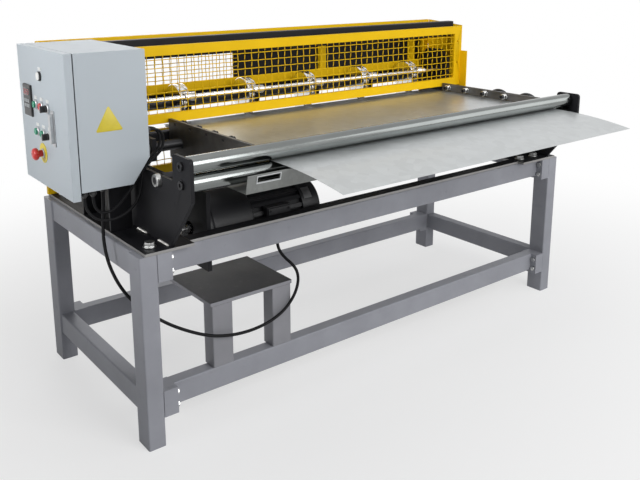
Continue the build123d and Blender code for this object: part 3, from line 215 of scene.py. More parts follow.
def edgedFinish(shader, look):
    flat = shader.upward()
    flatShare = shader.steps(flat * flat, *look.upEdges)
    clouds = shader.noise(look.cloudScale, look.cloudDetail)
    scratches = shader.noise(look.cloudScale * look.scuffFineness, look.scuffDetail)
    scuffs = shader.steps(scratches, *look.scuffEdges)
    grains = shader.noise(look.grainScale, look.grainDetail)
    paint = shader.shades(clouds, look.colour, look.paintSpread)
    paint = shader.blend(scuffs * look.marks, paint, tone(look.markColour))
    edge = shader.shades(clouds, look.edgeColour, look.edgeDarker, look.edgeLighter)
    return {"Base Color": shader.blend(flatShare, edge, paint),
            "Roughness": look.roughness + clouds.swing(look.cloudRough),
            "Metallic": (1 - flatShare) * look.edgeMetal, "Specular IOR Level": look.shine,
            "Normal": shader.bump(grains, look.grainBump, look.grainDepth)}


# Bare metals: clouds and fine lines, stretched along the rolling or round the turning
metalBase = dict(metallic=1.0, cloudDetail=5, cloudEdges=(0.32, 0.68), lineScale=300, lineDetail=3,
                 lineStretch=(1, 1, 1), lineDepth=0.0004)
rolledLines = dict(lineScale=60, lineStretch=(1, 0.15, 6), lineShare=0.18, lineBump=0.1)
turnedLines = dict(lineScale=220, lineStretch=(6, 0.4, 0.4))
metals = {
    "bedSteel": dict(**rolledLines, colour=(0.64, 0.63, 0.6), spread=0.12, roughness=0.56, metallic=0.5,
                     cloudScale=11, cloudShare=0.2),
    "sidePlateSteel": dict(**rolledLines, colour=(0.11, 0.107, 0.104), spread=0.3, roughness=0.42,
                           metallic=0.55, cloudScale=12, cloudShare=0.2),
    "turnedSteel": dict(**turnedLines, colour=(0.6, 0.6, 0.6), spread=0.08, roughness=0.26, cloudScale=20,
                        cloudShare=0.12, lineShare=0.16, lineBump=0.08),
    "brightRod": dict(**turnedLines, colour=(0.78, 0.78, 0.77), spread=0.04, roughness=0.2, cloudScale=20,
                      cloudShare=0.08, lineShare=0.1, lineBump=0.05),
    "rollerChrome": dict(colour=(0.205, 0.217, 0.213), spread=0.05, roughness=0.17, cloudScale=8,
                         cloudShare=0.06, lineScale=160, lineStretch=(5, 0.3, 0.3), lineShare=0.08,
                         lineBump=0.03),
    "boltZinc": dict(colour=(0.46, 0.465, 0.46), spread=0.14, roughness=0.34, cloudScale=60, cloudShare=0.2,
                     lineShare=0.15, lineBump=0.05),
    "weldBright": dict(colour=(0.5, 0.49, 0.47), spread=0.16, roughness=0.4, metallic=0.9, cloudScale=90,
                       cloudShare=0.3, lineShare=0.15, lineBump=0.1),
    "chainSteel": dict(colour=(0.16, 0.15, 0.14), spread=0.25, roughness=0.38, metallic=0.9, cloudScale=80,
                       cloudShare=0.2, lineShare=0.1, lineBump=0.05),
    "oxideBlack": dict(colour=(0.03, 0.03, 0.032), spread=0.15, roughness=0.38, metallic=0.7, cloudScale=90,
                       cloudShare=0.15, lineShare=0.1, lineBump=0.04),
    "bezelMetal": dict(colour=(0.5, 0.51, 0.52), spread=0.06, roughness=0.34, metallic=0.9, cloudScale=80,
                       cloudShare=0.1, lineScale=400, lineShare=0.08, lineBump=0.04),
    "blankPlate": dict(colour=(0.2, 0.2, 0.205), spread=0.08, roughness=0.36, metallic=0.8, cloudScale=50,
                       cloudShare=0.1, lineScale=200, lineStretch=(8, 1, 1), lineShare=0.12, lineBump=0.05),
}


def metalFinish(shader, look):
    lines = shader.noise(look.lineScale, look.lineDetail, look.lineStretch)
    clouds = shader.noise(look.cloudScale, look.cloudDetail)
    cloudShare = shader.steps(clouds, *look.cloudEdges)
    return {"Base Color": shader.shades(cloudShare, look.colour, look.spread),
            "Roughness": look.roughness + lines.swing(look.lineShare) + clouds.swing(look.cloudShare),
            "Metallic": look.metallic, "Normal": shader.bump(lines, look.lineBump, look.lineDepth)}


# Galvanised sheet: spangle cells under slow waves
spangleBase = dict(waveDetail=2, waveDepth=0.004)
spangles = {
    "sheetZinc": dict(colour=(0.54, 0.56, 0.565), spread=0.05, roughness=0.35, metallic=0.85, cellScale=34,
                      cellShare=0.015, waveScale=3.2, waveShare=0.14, waveBump=0.06),
    "apronZinc": dict(colour=(0.2, 0.207, 0.2), spread=0.08, roughness=0.48, metallic=0.75, cellScale=60,
                      cellShare=0.08, waveScale=4, waveShare=0.1, waveBump=0.05),
}


def spangleFinish(shader, look):
    waves = shader.noise(look.waveScale, look.waveDetail)
    crystals = shader.add("ShaderNodeTexVoronoi", {}, {"Vector": shader.place(), "Scale": look.cellScale},
                          "Color")
    cell = shader.add("ShaderNodeSeparateColor", {}, {"Color": crystals})
    return {"Base Color": shader.shades(cell, look.colour, look.spread),
            "Roughness": look.roughness + cell.swing(look.cellShare) + waves.swing(look.waveShare),
            "Metallic": look.metallic, "Normal": shader.bump(waves, look.waveBump, look.waveDepth)}


# Plastics, rubber and small enamelled plates
mouldingBase = dict(shine=0.5, spread=0.1, cloudScale=60, cloudDetail=3, cloudRough=0.12, grainScale=900,
                    grainDetail=2, grainDepth=0.0003)
mouldings = {
    "buttonGreen": dict(colour=(0.008, 0.27, 0.15), roughness=0.28, grainBump=0.03),
    "buttonRed": dict(colour=(0.58, 0.022, 0.018), roughness=0.28, grainBump=0.03),
    "discYellow": dict(colour=(0.72, 0.6, 0.03), roughness=0.42, grainScale=1200, grainBump=0.05),
    "blackPlastic": dict(colour=(0.02, 0.02, 0.021), roughness=0.4, grainScale=1400, grainBump=0.12),
    "greyPlastic": dict(colour=(0.36, 0.38, 0.39), roughness=0.42, grainScale=1200, grainBump=0.08),
    "palePlastic": dict(colour=(0.68, 0.69, 0.68), roughness=0.4, grainScale=1200, grainBump=0.05),
    "lampWhite": dict(colour=(0.8, 0.8, 0.78), roughness=0.2, grainScale=500, grainBump=0.04),
    "sealRubber": dict(colour=(0.012, 0.012, 0.013), roughness=0.7, grainBump=0.1),
    "cableSheath": dict(colour=(0.007, 0.007, 0.008), roughness=0.5, shine=0.12, grainScale=700,
                        grainBump=0.08),
    "screenBlack": dict(colour=(0.01, 0.01, 0.012), roughness=0.12, grainScale=300, grainBump=0.01),
    "gripBlack": dict(colour=(0.014, 0.014, 0.015), roughness=0.26, grainBump=0.04),
    "plateYellow": dict(colour=(0.62, 0.5, 0.03), roughness=0.38, grainBump=0.03),
    "digitRed": dict(colour=(0.6, 0.02, 0.03), roughness=0.3, grainBump=0.02),
}


def mouldedFinish(shader, look):
    clouds = shader.noise(look.cloudScale, look.cloudDetail)
    grains = shader.noise(look.grainScale, look.grainDetail)
    return {"Base Color": shader.shades(clouds, look.colour, look.spread),
            "Roughness": look.roughness + clouds.swing(look.cloudRough), "Specular IOR Level": look.shine,
            "Normal": shader.bump(grains, look.grainBump, look.grainDepth)}


finishes = {}
for recipe, base, looks in ((paintedFinish, paintBase, paints), (edgedFinish, edgedBase, edged),
                            (metalFinish, metalBase, metals), (spangleFinish, spangleBase, spangles),
                            (mouldedFinish, mouldingBase, mouldings)):
    for finishName, look in looks.items():
        finish = bpy.data.materials.new(finishName)
        shader = Shader(finish)
        surface = shader.add("ShaderNodeBsdfPrincipled", {}, recipe(shader, Values(base, **look)))
        shader.add("ShaderNodeOutputMaterial", {}, {"Surface": surface})
        finishes[finishName] = finish
print("finishes made:", len(finishes))

# CAD nodes that stay as they are, under their finish, with their edge rounding in millimetres
carried = {
    "standPaint": {"legs": 0, "end_rails": 0, "long_rails": 0},
    "boltZinc": {"stand_bolts": 0.8},
    "shelfPlate": {"front_shelf": 1.0},
    "basePlate": {"base_plates": 1.0},
    "blackPaint": {"roller_brackets": 1.2, "bed_ribs": 0.8, "bead_cheeks": 1.2, "bead_bearings": 0.6,
                   "gear_cover": 0.8, "lead_in_fingers": 0.8, "guard_beam_and_panel": 0.8,
                   "cabinet_bracket": 1.0},
    "rollerChrome": {"upper_feed_roller": 0, "lower_feed_roller": 0},
    "oxideBlack": {"shaft_bushes": 0.6, "tie_bars": 0.6, "lower_bead_shaft": 0, "upper_bead_shaft": 0},
    "bedSteel": {"bed_plate": 0.8},
    "apronZinc": {"infeed_apron": 0.4},
    "sheetZinc": {"sheet_blank": 0},
    "sidePlateSteel": {"left_side_plate": 1.0, "right_side_guide": 1.0},
    "brightRod": {"lower_bead_wheels": 0.6, "upper_bead_wheels": 0.6, "hold_down_rod": 0.6},
    "turnedSteel": {"drive_shaft": 0},
    "motorPaint": {"gear_reducer": 1.0, "motor_body": 0.6, "fan_cover": 0.6},
    "guardYellow": {"front_guard_frame": 1.5, "rear_guard_frame": 1.5, "guard_end_plates": 1.0},
    "cabinetPaint": {"cabinet_body": 0.9, "cabinet_door": 0.6},
    "bezelMetal": {"door_fittings": 0.4, "latch_handle": 0.8},
    "discYellow": {"stop_disc": 0.3},
    "blackPlastic": {"counter_display": 0.4, "mode_selector": 0.4, "feed_selector": 0.4},
}
edgeRounding = Values(weld=0.00002, segments=2, angle=38)
for finishName, nodeNames in carried.items():
    for nodeName, rounding in nodeNames.items():
        solid = cadNodes[nodeName]
        solid.data.materials.clear()
        solid.data.materials.append(finishes[finishName])
        if rounding:
            solid.modifiers.new("joinFaces", "WELD").merge_threshold = edgeRounding.weld
            bevel = solid.modifiers.new("edges", "BEVEL")
            bevel.width = rounding / millimetres
            bevel.segments = edgeRounding.segments
            bevel.limit_method = "ANGLE"
            bevel.angle_limit = math.radians(edgeRounding.angle)
            bevel.use_clamp_overlap = False
            bevel.harden_normals = True
print("CAD nodes dressed:", sum(len(nodeNames) for nodeNames in carried.values()))

meshJoin = 0.000002  # points closer than this become one
blockEdge = Values(segments=2, profile=0.7)


def addObject(name, data):
    made = bpy.data.objects.new(name, data)
    bpy.context.collection.objects.link(made)
    return made


def aim(thing, direction):
    thing.rotation_mode = "QUATERNION"
    thing.rotation_quaternion = direction.to_track_quat("-Z", "Y")


def addPiece(name, mesh, body, finishName, sharpAngle=30, stoodFor=None):
    bmesh.ops.remove_doubles(mesh, verts=mesh.verts, dist=meshJoin)
    bmesh.ops.recalc_face_normals(mesh, faces=mesh.faces)
    data = bpy.data.meshes.new(name)
    mesh.to_mesh(data)
    mesh.free()
    data.shade_smooth()
    data.set_sharp_from_angle(angle=math.radians(sharpAngle))
    data.materials.append(finishes[finishName])
    piece = addObject(name, data)
    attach(piece, body)
    if stoodFor:
        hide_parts(stoodFor)


def spokesRound(count, offset=0):  # unit vectors round local Z
    angles = [2 * math.pi * (index + offset) / count for index in range(count)]
    return [Vector((math.cos(angle), math.sin(angle), 0)) for angle in angles]


def axisTurn(axis):  # turn that lays local Z along an axis
    return Vector(axis).to_track_quat("Z", "Y").to_matrix()


def addSkin(mesh, rings, loop=False, caps=(0, -1)):  # rings of points, joined in order
    rows = [[mesh.verts.new(point) for point in ring] for ring in rings]
    for low, high in zip(rows, rows[1:] + rows[:1] if loop else rows[1:]):
        for side in range(len(low)):
            other = (side + 1) % len(low)
            mesh.faces.new((low[side], low[other], high[other], high[side]))
    for cap in caps:
        mesh.faces.new(rows[cap])


def addTube(mesh, points, radius, sides=6, loop=False):  # radius: a value or a function of a point's number
    rings = []
    last = len(points) - 1
    for index, point in enumerate(points):
        if loop:
            ahead = points[(index + 1) % len(points)] - points[index - 1]
        else:
            ahead = points[min(index + 1, last)] - points[max(index - 1, 0)]
        turn = ahead.to_track_quat("Z", "Y")
        size = radius(index) if callable(radius) else radius
        rings.append([point + turn @ (spoke * size) for spoke in spokesRound(sides)])
    addSkin(mesh, rings, loop, () if loop else (0, -1))


def addLathe(mesh, origin, axis, profile, sides):  # profile: height along the axis and radius, in metres
    turn = axisTurn(axis)
    spokes = spokesRound(sides)
    addSkin(mesh, [[origin + turn @ (spoke * radius + Vector((0, 0, height))) for spoke in spokes]
                   for height, radius in profile])


def addHex(mesh, origin, axis, flats, height, chamfer):
    radius = flats / math.sqrt(3)
    addLathe(mesh, origin, axis, [(0, radius), (height - chamfer, radius), (height, radius - chamfer)], 6)


def addBlock(mesh, low, high, rounding):
    made = bmesh.ops.create_cube(mesh, size=1)["verts"]
    middle = (low + high) / 2
    size = high - low
    for vert in made:
        vert.co = vert.co * size + middle
    edges = list({edge for vert in made for edge in vert.link_edges})
    bmesh.ops.bevel(mesh, geom=edges, offset=rounding, segments=blockEdge.segments,
                    profile=blockEdge.profile, affect="EDGES")


def addStandBlock(mesh, x, y, z, rounding):  # x, y, z: both ends, in millimetres from the stand's corner
    addBlock(mesh, atStand(x[0], y[0], z[0]), atStand(x[1], y[1], z[1]), rounding)


def addPlaque(mesh, front, back, y, z, width, height, rounding):  # a flat block that looks to the left
    half = Vector((0, width / 2, height / 2))
    addBlock(mesh, Vector((front, y, z)) - half, Vector((back, y, z)) + half, rounding)


capScrew = Values(socket=0.5, edge=0.85, top=0.88, floor=0.45, sides=20)  # shares of radius and height


def addCapScrew(mesh, origin, axis, radius, height):
    socket = radius * capScrew.socket
    addLathe(mesh, origin, axis, [
        (0, radius), (height * capScrew.edge, radius), (height, radius * capScrew.top), (height, socket),
        (height * capScrew.floor, socket)], capScrew.sides)


# Cables, on the routes of the solids, in metres from the stand's corner, with their glands' way and size
cables = {
    "motor_cable": Values(diameter=0.011, length=1.29, stiffness="medium", glands=(
        ((0, 0, -1), "cabinetSize"), ((0, 0, -1), "motorSize")), route=[
        (-0.025, 0.185, 0.830), (-0.025, 0.185, 0.790), (-0.027, 0.192, 0.735), (-0.028, 0.198, 0.680),
        (-0.027, 0.190, 0.630), (-0.024, 0.172, 0.585), (-0.012, 0.140, 0.532), (0.012, 0.112, 0.484),
        (0.055, 0.102, 0.436), (0.113, 0.082, 0.384), (0.170, 0.046, 0.352), (0.235, 0.016, 0.325),
        (0.300, 0.012, 0.306), (0.365, 0.012, 0.296), (0.430, 0.012, 0.296), (0.495, 0.012, 0.308),
        (0.548, 0.013, 0.332), (0.590, 0.016, 0.372), (0.611, 0.020, 0.416), (0.613, 0.028, 0.452),
        (0.603, 0.044, 0.478), (0.588, 0.068, 0.497), (0.578, 0.090, 0.521), (0.575, 0.100, 0.550),
        (0.575, 0.100, 0.580)]),
    "inner_loop_cable": Values(diameter=0.009, length=0.448, stiffness="limp", glands=(
        ((1, 0, 0), "cabinetSize"), ((0, 0, -1), "cabinetSize")), route=[
        (0.135, 0.165, 1.010), (0.160, 0.165, 1.010), (0.178, 0.164, 0.992), (0.180, 0.163, 0.962),
        (0.165, 0.160, 0.934), (0.130, 0.157, 0.912), (0.094, 0.154, 0.880), (0.060, 0.151, 0.840),
        (0.025, 0.150, 0.800), (-0.015, 0.150, 0.770), (-0.050, 0.150, 0.773), (-0.070, 0.150, 0.800),
        (-0.070, 0.150, 0.830)]),
    "outer_loop_cable": Values(diameter=0.009, length=0.531, stiffness="limp", glands=(
        ((1, 0, 0), "cabinetSize"), ((0, 0, -1), "cabinetSize")), route=[
        (0.135, 0.200, 1.010), (0.162, 0.200, 1.010), (0.182, 0.199, 0.990), (0.184, 0.196, 0.958),
        (0.168, 0.191, 0.932), (0.136, 0.183, 0.914), (0.107, 0.172, 0.893), (0.093, 0.153, 0.850),
        (0.076, 0.142, 0.800), (0.038, 0.138, 0.764), (-0.008, 0.137, 0.748), (-0.055, 0.138, 0.752),
        (-0.086, 0.143, 0.776), (-0.097, 0.150, 0.804), (-0.097, 0.150, 0.830)]),
}
sheath = Values(roundness=4, order=3, steps=8)
for nodeName, cable in cables.items():
    line = bpy.data.curves.new(nodeName + "_line", "CURVE")
    line.dimensions = "3D"
    line.bevel_depth = cable.diameter / 2
    line.bevel_resolution = sheath.roundness
    line.use_fill_caps = True
    spline = line.splines.new("NURBS")
    spline.points.add(len(cable.route) - 1)
    for point, place in zip(spline.points, cable.route):
        point.co = (*(standCorner + Vector(place)), 1)
    spline.order_u = sheath.order
    spline.use_endpoint_u = True
    spline.resolution_u = sheath.steps
    line.materials.append(finishes["cableSheath"])
    cord = addObject(nodeName + "_sheath", line)
    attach(cord, "machine")
    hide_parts(nodeName)

# Glands: hexagon, waist and a ribbed dome nut that closes round the cable
gland = Values(cabinetSize=Values(scale=1, length=0.022), motorSize=Values(scale=0.8, length=0.020),
               hexFlats=0.0186, hexLength=0.007, hexChamfer=0.0008, radius=0.0108, waist=0.82,
               waistSink=0.0005, waistRise=0.001, nutRise=0.0012, nutEnd=0.62, dome=(0.72, 0.9),
               collar=(0.9, 0.0018), mouth=0.0007, sides=28, ribs=14, ribRadius=0.0007, ribRise=0.002,
               ribLength=0.28, ribPlace=0.965)


def addGland(mesh, end, outward, size, cableRadius):  # end: where the cable leaves the dome nut
    length, scale = size.length, size.scale
    axis = Vector(outward)
    start = end - axis * length
    hexTop = gland.hexLength * scale
    radius = gland.radius * scale
    waist = radius * gland.waist
    addHex(mesh, start, axis, gland.hexFlats * scale, hexTop, gland.hexChamfer)
    addLathe(mesh, start, axis, [
        (hexTop - gland.waistSink, waist), (hexTop + gland.waistRise, waist),
        (hexTop + gland.nutRise, radius), (length * gland.nutEnd, radius),
        (length * gland.dome[0], radius * gland.dome[1]),
        (length * gland.collar[0], cableRadius + gland.collar[1]),
        (length, cableRadius + gland.mouth)], gland.sides)
    for spoke in spokesRound(gland.ribs):
        across = axisTurn(axis) @ spoke * radius * gland.ribPlace
        near = start + axis * (hexTop + gland.ribRise) + across
        addTube(mesh, [near, near + axis * length * gland.ribLength], gland.ribRadius * scale)


glandMesh = bmesh.new()
for cable in cables.values():
    for place, (outward, sizeName) in zip((cable.route[0], cable.route[-1]), cable.glands):
        addGland(glandMesh, standCorner + Vector(place), outward, gland[sizeName], cable.diameter / 2)
addPiece("ribbed_cable_glands", glandMesh, "machine", "blackPlastic",
         stoodFor="cable_glands")
print("cables laid:", len(cables))

# Woven wire nets in the guard frames, rear edges in millimetres from the stand's corner
net = Values(pitch=0.0335, wire=0.0036, tuck=0.003, stepsPerPitch=4, bar=0.038, rearRight=872, rearLow=1043,
             rearHigh=1212, sillLow=708, sillHigh=824)


def weaveWire(mesh, start, pitch, pitches, side):  # side: which face of the net the wire starts on
    sway = Vector((0, side * net.wire / 2, 0))
    tuck = pitch.normalized() * net.tuck
    points = [start - tuck]
    for step in range(pitches * net.stepsPerPitch + 1):
        along = step / net.stepsPerPitch
        points.append(start + pitch * along + sway * math.sin(math.pi * along))
    points.append(start + pitch * pitches + tuck)
    addTube(mesh, points, net.wire / 2)


def weavePanel(mesh, corner, right, top):
    columns = round((right - corner.x) / net.pitch)
    rows = round((top - corner.z) / net.pitch)
    across = Vector(((right - corner.x) / columns, 0, 0))
    upward = Vector((0, 0, (top - corner.z) / rows))
    for column in range(columns):
        weaveWire(mesh, corner + across * (column + 0.5), upward, rows, (-1) ** column)
    for row in range(rows):
        weaveWire(mesh, corner + upward * (row + 0.5), across, columns, -(-1) ** row)


netLow, netHigh = nodeBox("guard_nets")
frontLow, frontHigh = nodeBox("front_guard_frame")
frontDepth, rearDepth = nodeMiddle("front_guard_frame").y, nodeMiddle("rear_guard_frame").y
netMesh = bmesh.new()
weavePanel(netMesh, Vector((netLow.x, frontDepth, frontLow.z + net.bar)), netHigh.x, frontHigh.z - net.bar)
for right, low, high in ((atStand(net.rearRight, 0, 0).x, net.rearLow, net.rearHigh),
                         (netHigh.x, net.sillLow, net.sillHigh)):
    weavePanel(netMesh, Vector((netLow.x, rearDepth, atStand(0, 0, low).z)), right, atStand(0, 0, high).z)
addPiece("woven_guard_nets", netMesh, "machine", "guardYellow", sharpAngle=80,
         stoodFor="guard_nets")
print("nets woven")

# Stitch welds at the left bracket's foot
stitchWeld = Values(x=112, z=665, inset=1.2, runs=((22, 91), (174, 240), (319, 388)), radius=0.0046,
                    ripple=0.0006, ripplePitch=2.2, pointsPerRipple=3, taperPoints=5, sides=10)
weldMesh = bmesh.new()
for startY, endY in stitchWeld.runs:
    count = int((endY - startY) / stitchWeld.ripplePitch * stitchWeld.pointsPerRipple)
    points = [atStand(stitchWeld.x - stitchWeld.inset, startY + (endY - startY) * step / count,
                      stitchWeld.z + stitchWeld.inset) for step in range(count + 1)]

    def beadRadius(index):
        endShare = min(1, (index + 1) / stitchWeld.taperPoints, (count - index + 1) / stitchWeld.taperPoints)
        wave = math.sin(2 * math.pi * index / stitchWeld.pointsPerRipple)
        return (stitchWeld.radius + stitchWeld.ripple * wave) * endShare
    addTube(weldMesh, points, beadRadius, stitchWeld.sides)
addPiece("bracket_stitch_welds", weldMesh, "machine", "weldBright", sharpAngle=60)

# Weld seams where the end rails meet the legs
seam = Values(radius=0.0022, wave=0.16, waveStep=2.1, stepsPerSide=14, railWidth=0.050, railHeight=0.080,
              railRises=(0.112, 0.575))


def seamRadius(index):
    return seam.radius * (1 + seam.wave * math.sin(index * seam.waveStep))


seamMesh = bmesh.new()
railLow, railHigh = nodeBox("end_rails")
for left in (railLow.x, railHigh.x - seam.railWidth):
    right = left + seam.railWidth
    for y in (railLow.y, railHigh.y):
        for rise in seam.railRises:
            low = cadLow.z + rise
            high = low + seam.railHeight
            corners = [Vector((left, y, low)), Vector((right, y, low)), Vector((right, y, high)),
                       Vector((left, y, high))]
            points = []
            for corner, following in zip(corners, corners[1:] + corners[:1]):
                points.extend(corner.lerp(following, (step + 0.5) / seam.stepsPerSide)
                              for step in range(seam.stepsPerSide))
            addTube(seamMesh, points, seamRadius, loop=True)
addPiece("end_rail_weld_seams", seamMesh, "machine", "standPaint", sharpAngle=70)
print("welds run")

# Handwheels on the two guide screws: moulded rim, three spokes, hub, threaded screw
handwheel = Values(rimSection=0.009, rimSteps=72, rimSides=16, seam=0.0005, hubRadius=0.020,
                   hubLength=0.024, hubSides=36, spokes=3, spokeRoot=0.0072, spokeTip=0.0052,
                   spokeStart=0.8, spokeSteps=6, spokeSides=12,
                   hubShape=((0, 0.82), (1 / 12, 0.9), (0.25, 1), (0.75, 1), (11 / 12, 0.9), (1, 0.78),
                             (1, 0.56), (0.875, 0.52), (0.875, 0.2)))  # shares of the hub's length and radius
guideScrew = Values(radius=0.010, pitch=0.005, depth=0.0009, threadEnd=0.110, hubSink=0.002, threadSides=20,
                    shankSides=24, threadShape=((0, 0), (0.45, 0), (0.6, 1), (0.85, 1)))


def spokeRadius(index):
    thinning = math.sin(math.pi * index / handwheel.spokeSteps)
    return handwheel.spokeRoot + (handwheel.spokeTip - handwheel.spokeRoot) * thinning


def addHandwheel(mesh, middle, rimRadius):
    rings = []
    for around in spokesRound(handwheel.rimSteps):
        outward = Vector((0, around.y, around.x))
        ring = []
        for side, part in enumerate(spokesRound(handwheel.rimSides)):
            onSeam = side % (handwheel.rimSides // 2) == 0  # parting line on the outer and inner edge
            section = handwheel.rimSection - handwheel.seam * onSeam
            ring.append(middle + outward * (rimRadius + section * part.x) + Vector((section * part.y, 0, 0)))
        rings.append(ring)
    addSkin(mesh, rings, loop=True, caps=())
    length, radius = handwheel.hubLength, handwheel.hubRadius
    addLathe(mesh, middle - Vector((length / 2, 0, 0)), (1, 0, 0),
             [(length * along, radius * share) for along, share in handwheel.hubShape], handwheel.hubSides)
    start = radius * handwheel.spokeStart
    steps = handwheel.spokeSteps
    for around in spokesRound(handwheel.spokes):
        outward = Vector((0, around.y, around.x))
        points = [middle + outward * (start + (rimRadius - start) * step / steps)
                  for step in range(steps + 1)]
        addTube(mesh, points, spokeRadius, handwheel.spokeSides)


def addGuideScrew(mesh, start, end):
    pitch, radius, threadEnd = guideScrew.pitch, guideScrew.radius, guideScrew.threadEnd
    thread = [((turn + along) * pitch, radius - guideScrew.depth * share)
              for turn in range(int(threadEnd / pitch)) for along, share in guideScrew.threadShape]
    addLathe(mesh, start, (1, 0, 0), thread + [(threadEnd, radius)], guideScrew.threadSides)
    addLathe(mesh, start + Vector((threadEnd, 0, 0)), (1, 0, 0), [
        (0, radius), (end - start.x - threadEnd + guideScrew.hubSink, radius)], guideScrew.shankSides)


for nodeName, bodyName in (("front_handwheel", "front_wheel"), ("rear_handwheel", "rear_wheel")):
    wheelLow, wheelHigh = nodeBox(nodeName)
    middle = (wheelLow + wheelHigh) / 2
    middle.x = wheelHigh.x - handwheel.hubLength / 2
    wheelMesh = bmesh.new()
    addHandwheel(wheelMesh, middle, (wheelHigh.z - wheelLow.z) / 2 - handwheel.rimSection)
    addPiece(nodeName + "_moulding", wheelMesh, bodyName, "gripBlack", sharpAngle=50,
             stoodFor=nodeName)
    screwMesh = bmesh.new()
    addGuideScrew(screwMesh, Vector((wheelLow.x, middle.y, middle.z)), wheelHigh.x - handwheel.hubLength)
    addPiece(nodeName + "_screw", screwMesh, bodyName, "turnedSteel")
print("handwheels turned")

# Edge studs: grooved sleeves on dark cap screws through the side plates
stud = Values(count=4, sleeveRadius=0.013, sleeveLength=0.026, chamfer=0.0012, groove=(0.3, 0.7),
              grooveDepth=0.0006, grooveEdge=0.0008, sleeveSides=40, headRadius=0.009, headLength=0.010,
              boltRadius=0.006, boltTip=0.001, boltTipShare=0.8, boltSides=20)


def addSleeve(mesh, origin, axis):
    radius, length, cut = stud.sleeveRadius, stud.sleeveLength, stud.chamfer
    grooveStart, grooveEnd = length * stud.groove[0], length * stud.groove[1]
    floor = radius - stud.grooveDepth
    addLathe(mesh, origin, axis, [
        (0, radius - cut), (cut, radius), (grooveStart, radius), (grooveStart + stud.grooveEdge, floor),
        (grooveEnd, floor), (grooveEnd + stud.grooveEdge, radius), (length - cut, radius),
        (length, radius - cut)], stud.sleeveSides)


for nodeName, bodyName, inward, sleeveFinish in (("left_edge_studs", "machine", 1, "oxideBlack"),
                                                 ("right_edge_studs", "side_guide", -1, "brightRod")):
    studLow, studHigh = nodeBox(nodeName)
    boltEnd, headEnd = (studLow.x, studHigh.x) if inward > 0 else (studHigh.x, studLow.x)
    sleeveEnd = headEnd - inward * stud.headLength
    plateFace = sleeveEnd - inward * stud.sleeveLength
    pitch = (studHigh.y - studLow.y - 2 * stud.sleeveRadius) / (stud.count - 1)
    z = (studLow.z + studHigh.z) / 2
    axis = (inward, 0, 0)
    sleeveMesh = bmesh.new()
    screwMesh = bmesh.new()
    for index in range(stud.count):
        y = studLow.y + stud.sleeveRadius + index * pitch
        addSleeve(sleeveMesh, Vector((plateFace, y, z)), axis)
        addCapScrew(screwMesh, Vector((sleeveEnd, y, z)), axis, stud.headRadius, stud.headLength)
        addLathe(screwMesh, Vector((boltEnd, y, z)), axis, [
            (0, stud.boltRadius * stud.boltTipShare), (stud.boltTip, stud.boltRadius),
            (abs(plateFace - boltEnd), stud.boltRadius)], stud.boltSides)
    addPiece(nodeName + "_sleeves", sleeveMesh, bodyName, sleeveFinish, stoodFor=nodeName)
    addPiece(nodeName + "_screws", screwMesh, bodyName, "oxideBlack")
print("studs set")

# Roller chain on the drive sprockets, large one at the rear
chain = Values(pitch=0.015875, plateHeight=0.012, plateWaist=0.0085, plateThickness=0.0025, inner=0.0066,
               pinRadius=0.0025, pinSides=10, teeth=(24, 17), roundSteps=6)


def heading(angle):
    return Vector((math.cos(angle), math.sin(angle)))


def chainPins():  # places of the pins, across and up
    low, high = nodeBox("drive_chain")
    half = chain.plateHeight / 2
    large, small = (chain.pitch / (2 * math.sin(math.pi / teeth)) for teeth in chain.teeth)
    rear = Vector((high.y - half - large, high.z - half - large))
    front = Vector((low.y + half + small, low.z + half + small))
    span = front - rear
    lean = math.asin((large - small) / span.length)
    along = math.atan2(span.y, span.x)
    straight = math.sqrt(span.length ** 2 - (large - small) ** 2)
    largeArc, smallArc = (math.pi + 2 * lean) * large, (math.pi - 2 * lean) * small
    total = largeArc + smallArc + 2 * straight
    count = 2 * round(total / chain.pitch / 2)
    topSide, lowSide = along + math.pi / 2 - lean, along - math.pi / 2 + lean
    pins = []
    for index in range(count):
        distance = total * index / count
        if distance < largeArc:
            pins.append(rear + large * heading(topSide + distance / large))
            continue
        distance -= largeArc
        if distance < straight:
            start, end = rear + large * heading(lowSide), front + small * heading(lowSide)
            pins.append(start.lerp(end, distance / straight))
            continue
        distance -= straight
        if distance < smallArc:
            pins.append(front + small * heading(lowSide + distance / small))
            continue
        start, end = front + small * heading(topSide), rear + large * heading(topSide)
        pins.append(start.lerp(end, (distance - smallArc) / straight))
    return pins


def linkOutline(length):
    outline = []
    steps = chain.roundSteps
    for end in (1, -1):  # a round end, then a point of the waist
        for step in range(steps + 1):
            outline.append(Vector((end * length / 2, 0))
                           + heading(-end * math.pi / 2 + math.pi * step / steps) * chain.plateHeight / 2)
        outline.append(Vector((0, end * chain.plateWaist / 2)))
    return outline


chainMesh = bmesh.new()
pins = chainPins()
chainMiddle = nodeMiddle("drive_chain").x
plateHalf = chain.plateThickness / 2
pinReach = chain.inner / 2 + chain.plateThickness
for index, (pin, following) in enumerate(zip(pins, pins[1:] + pins[:1])):
    ahead = (following - pin).normalized()
    sideways = Vector((-ahead.y, ahead.x))
    outline = [(pin + following) / 2 + ahead * point.x + sideways * point.y
               for point in linkOutline((following - pin).length)]
    inside = chain.inner / 2 + (0 if index % 2 else plateHalf)  # inner and outer links in turn
    for side in (-1, 1):
        addSkin(chainMesh, [[Vector((chainMiddle + side * level, spot.x, spot.y)) for spot in outline]
                            for level in (inside, inside + plateHalf)])
    addLathe(chainMesh, Vector((chainMiddle - pinReach, pin.x, pin.y)), (1, 0, 0), [
        (0, chain.pinRadius), (2 * pinReach, chain.pinRadius)], chain.pinSides)
addPiece("roller_chain_links", chainMesh, "machine", "chainSteel", sharpAngle=40,
         stoodFor="drive_chain")
print("chain links:", len(pins))

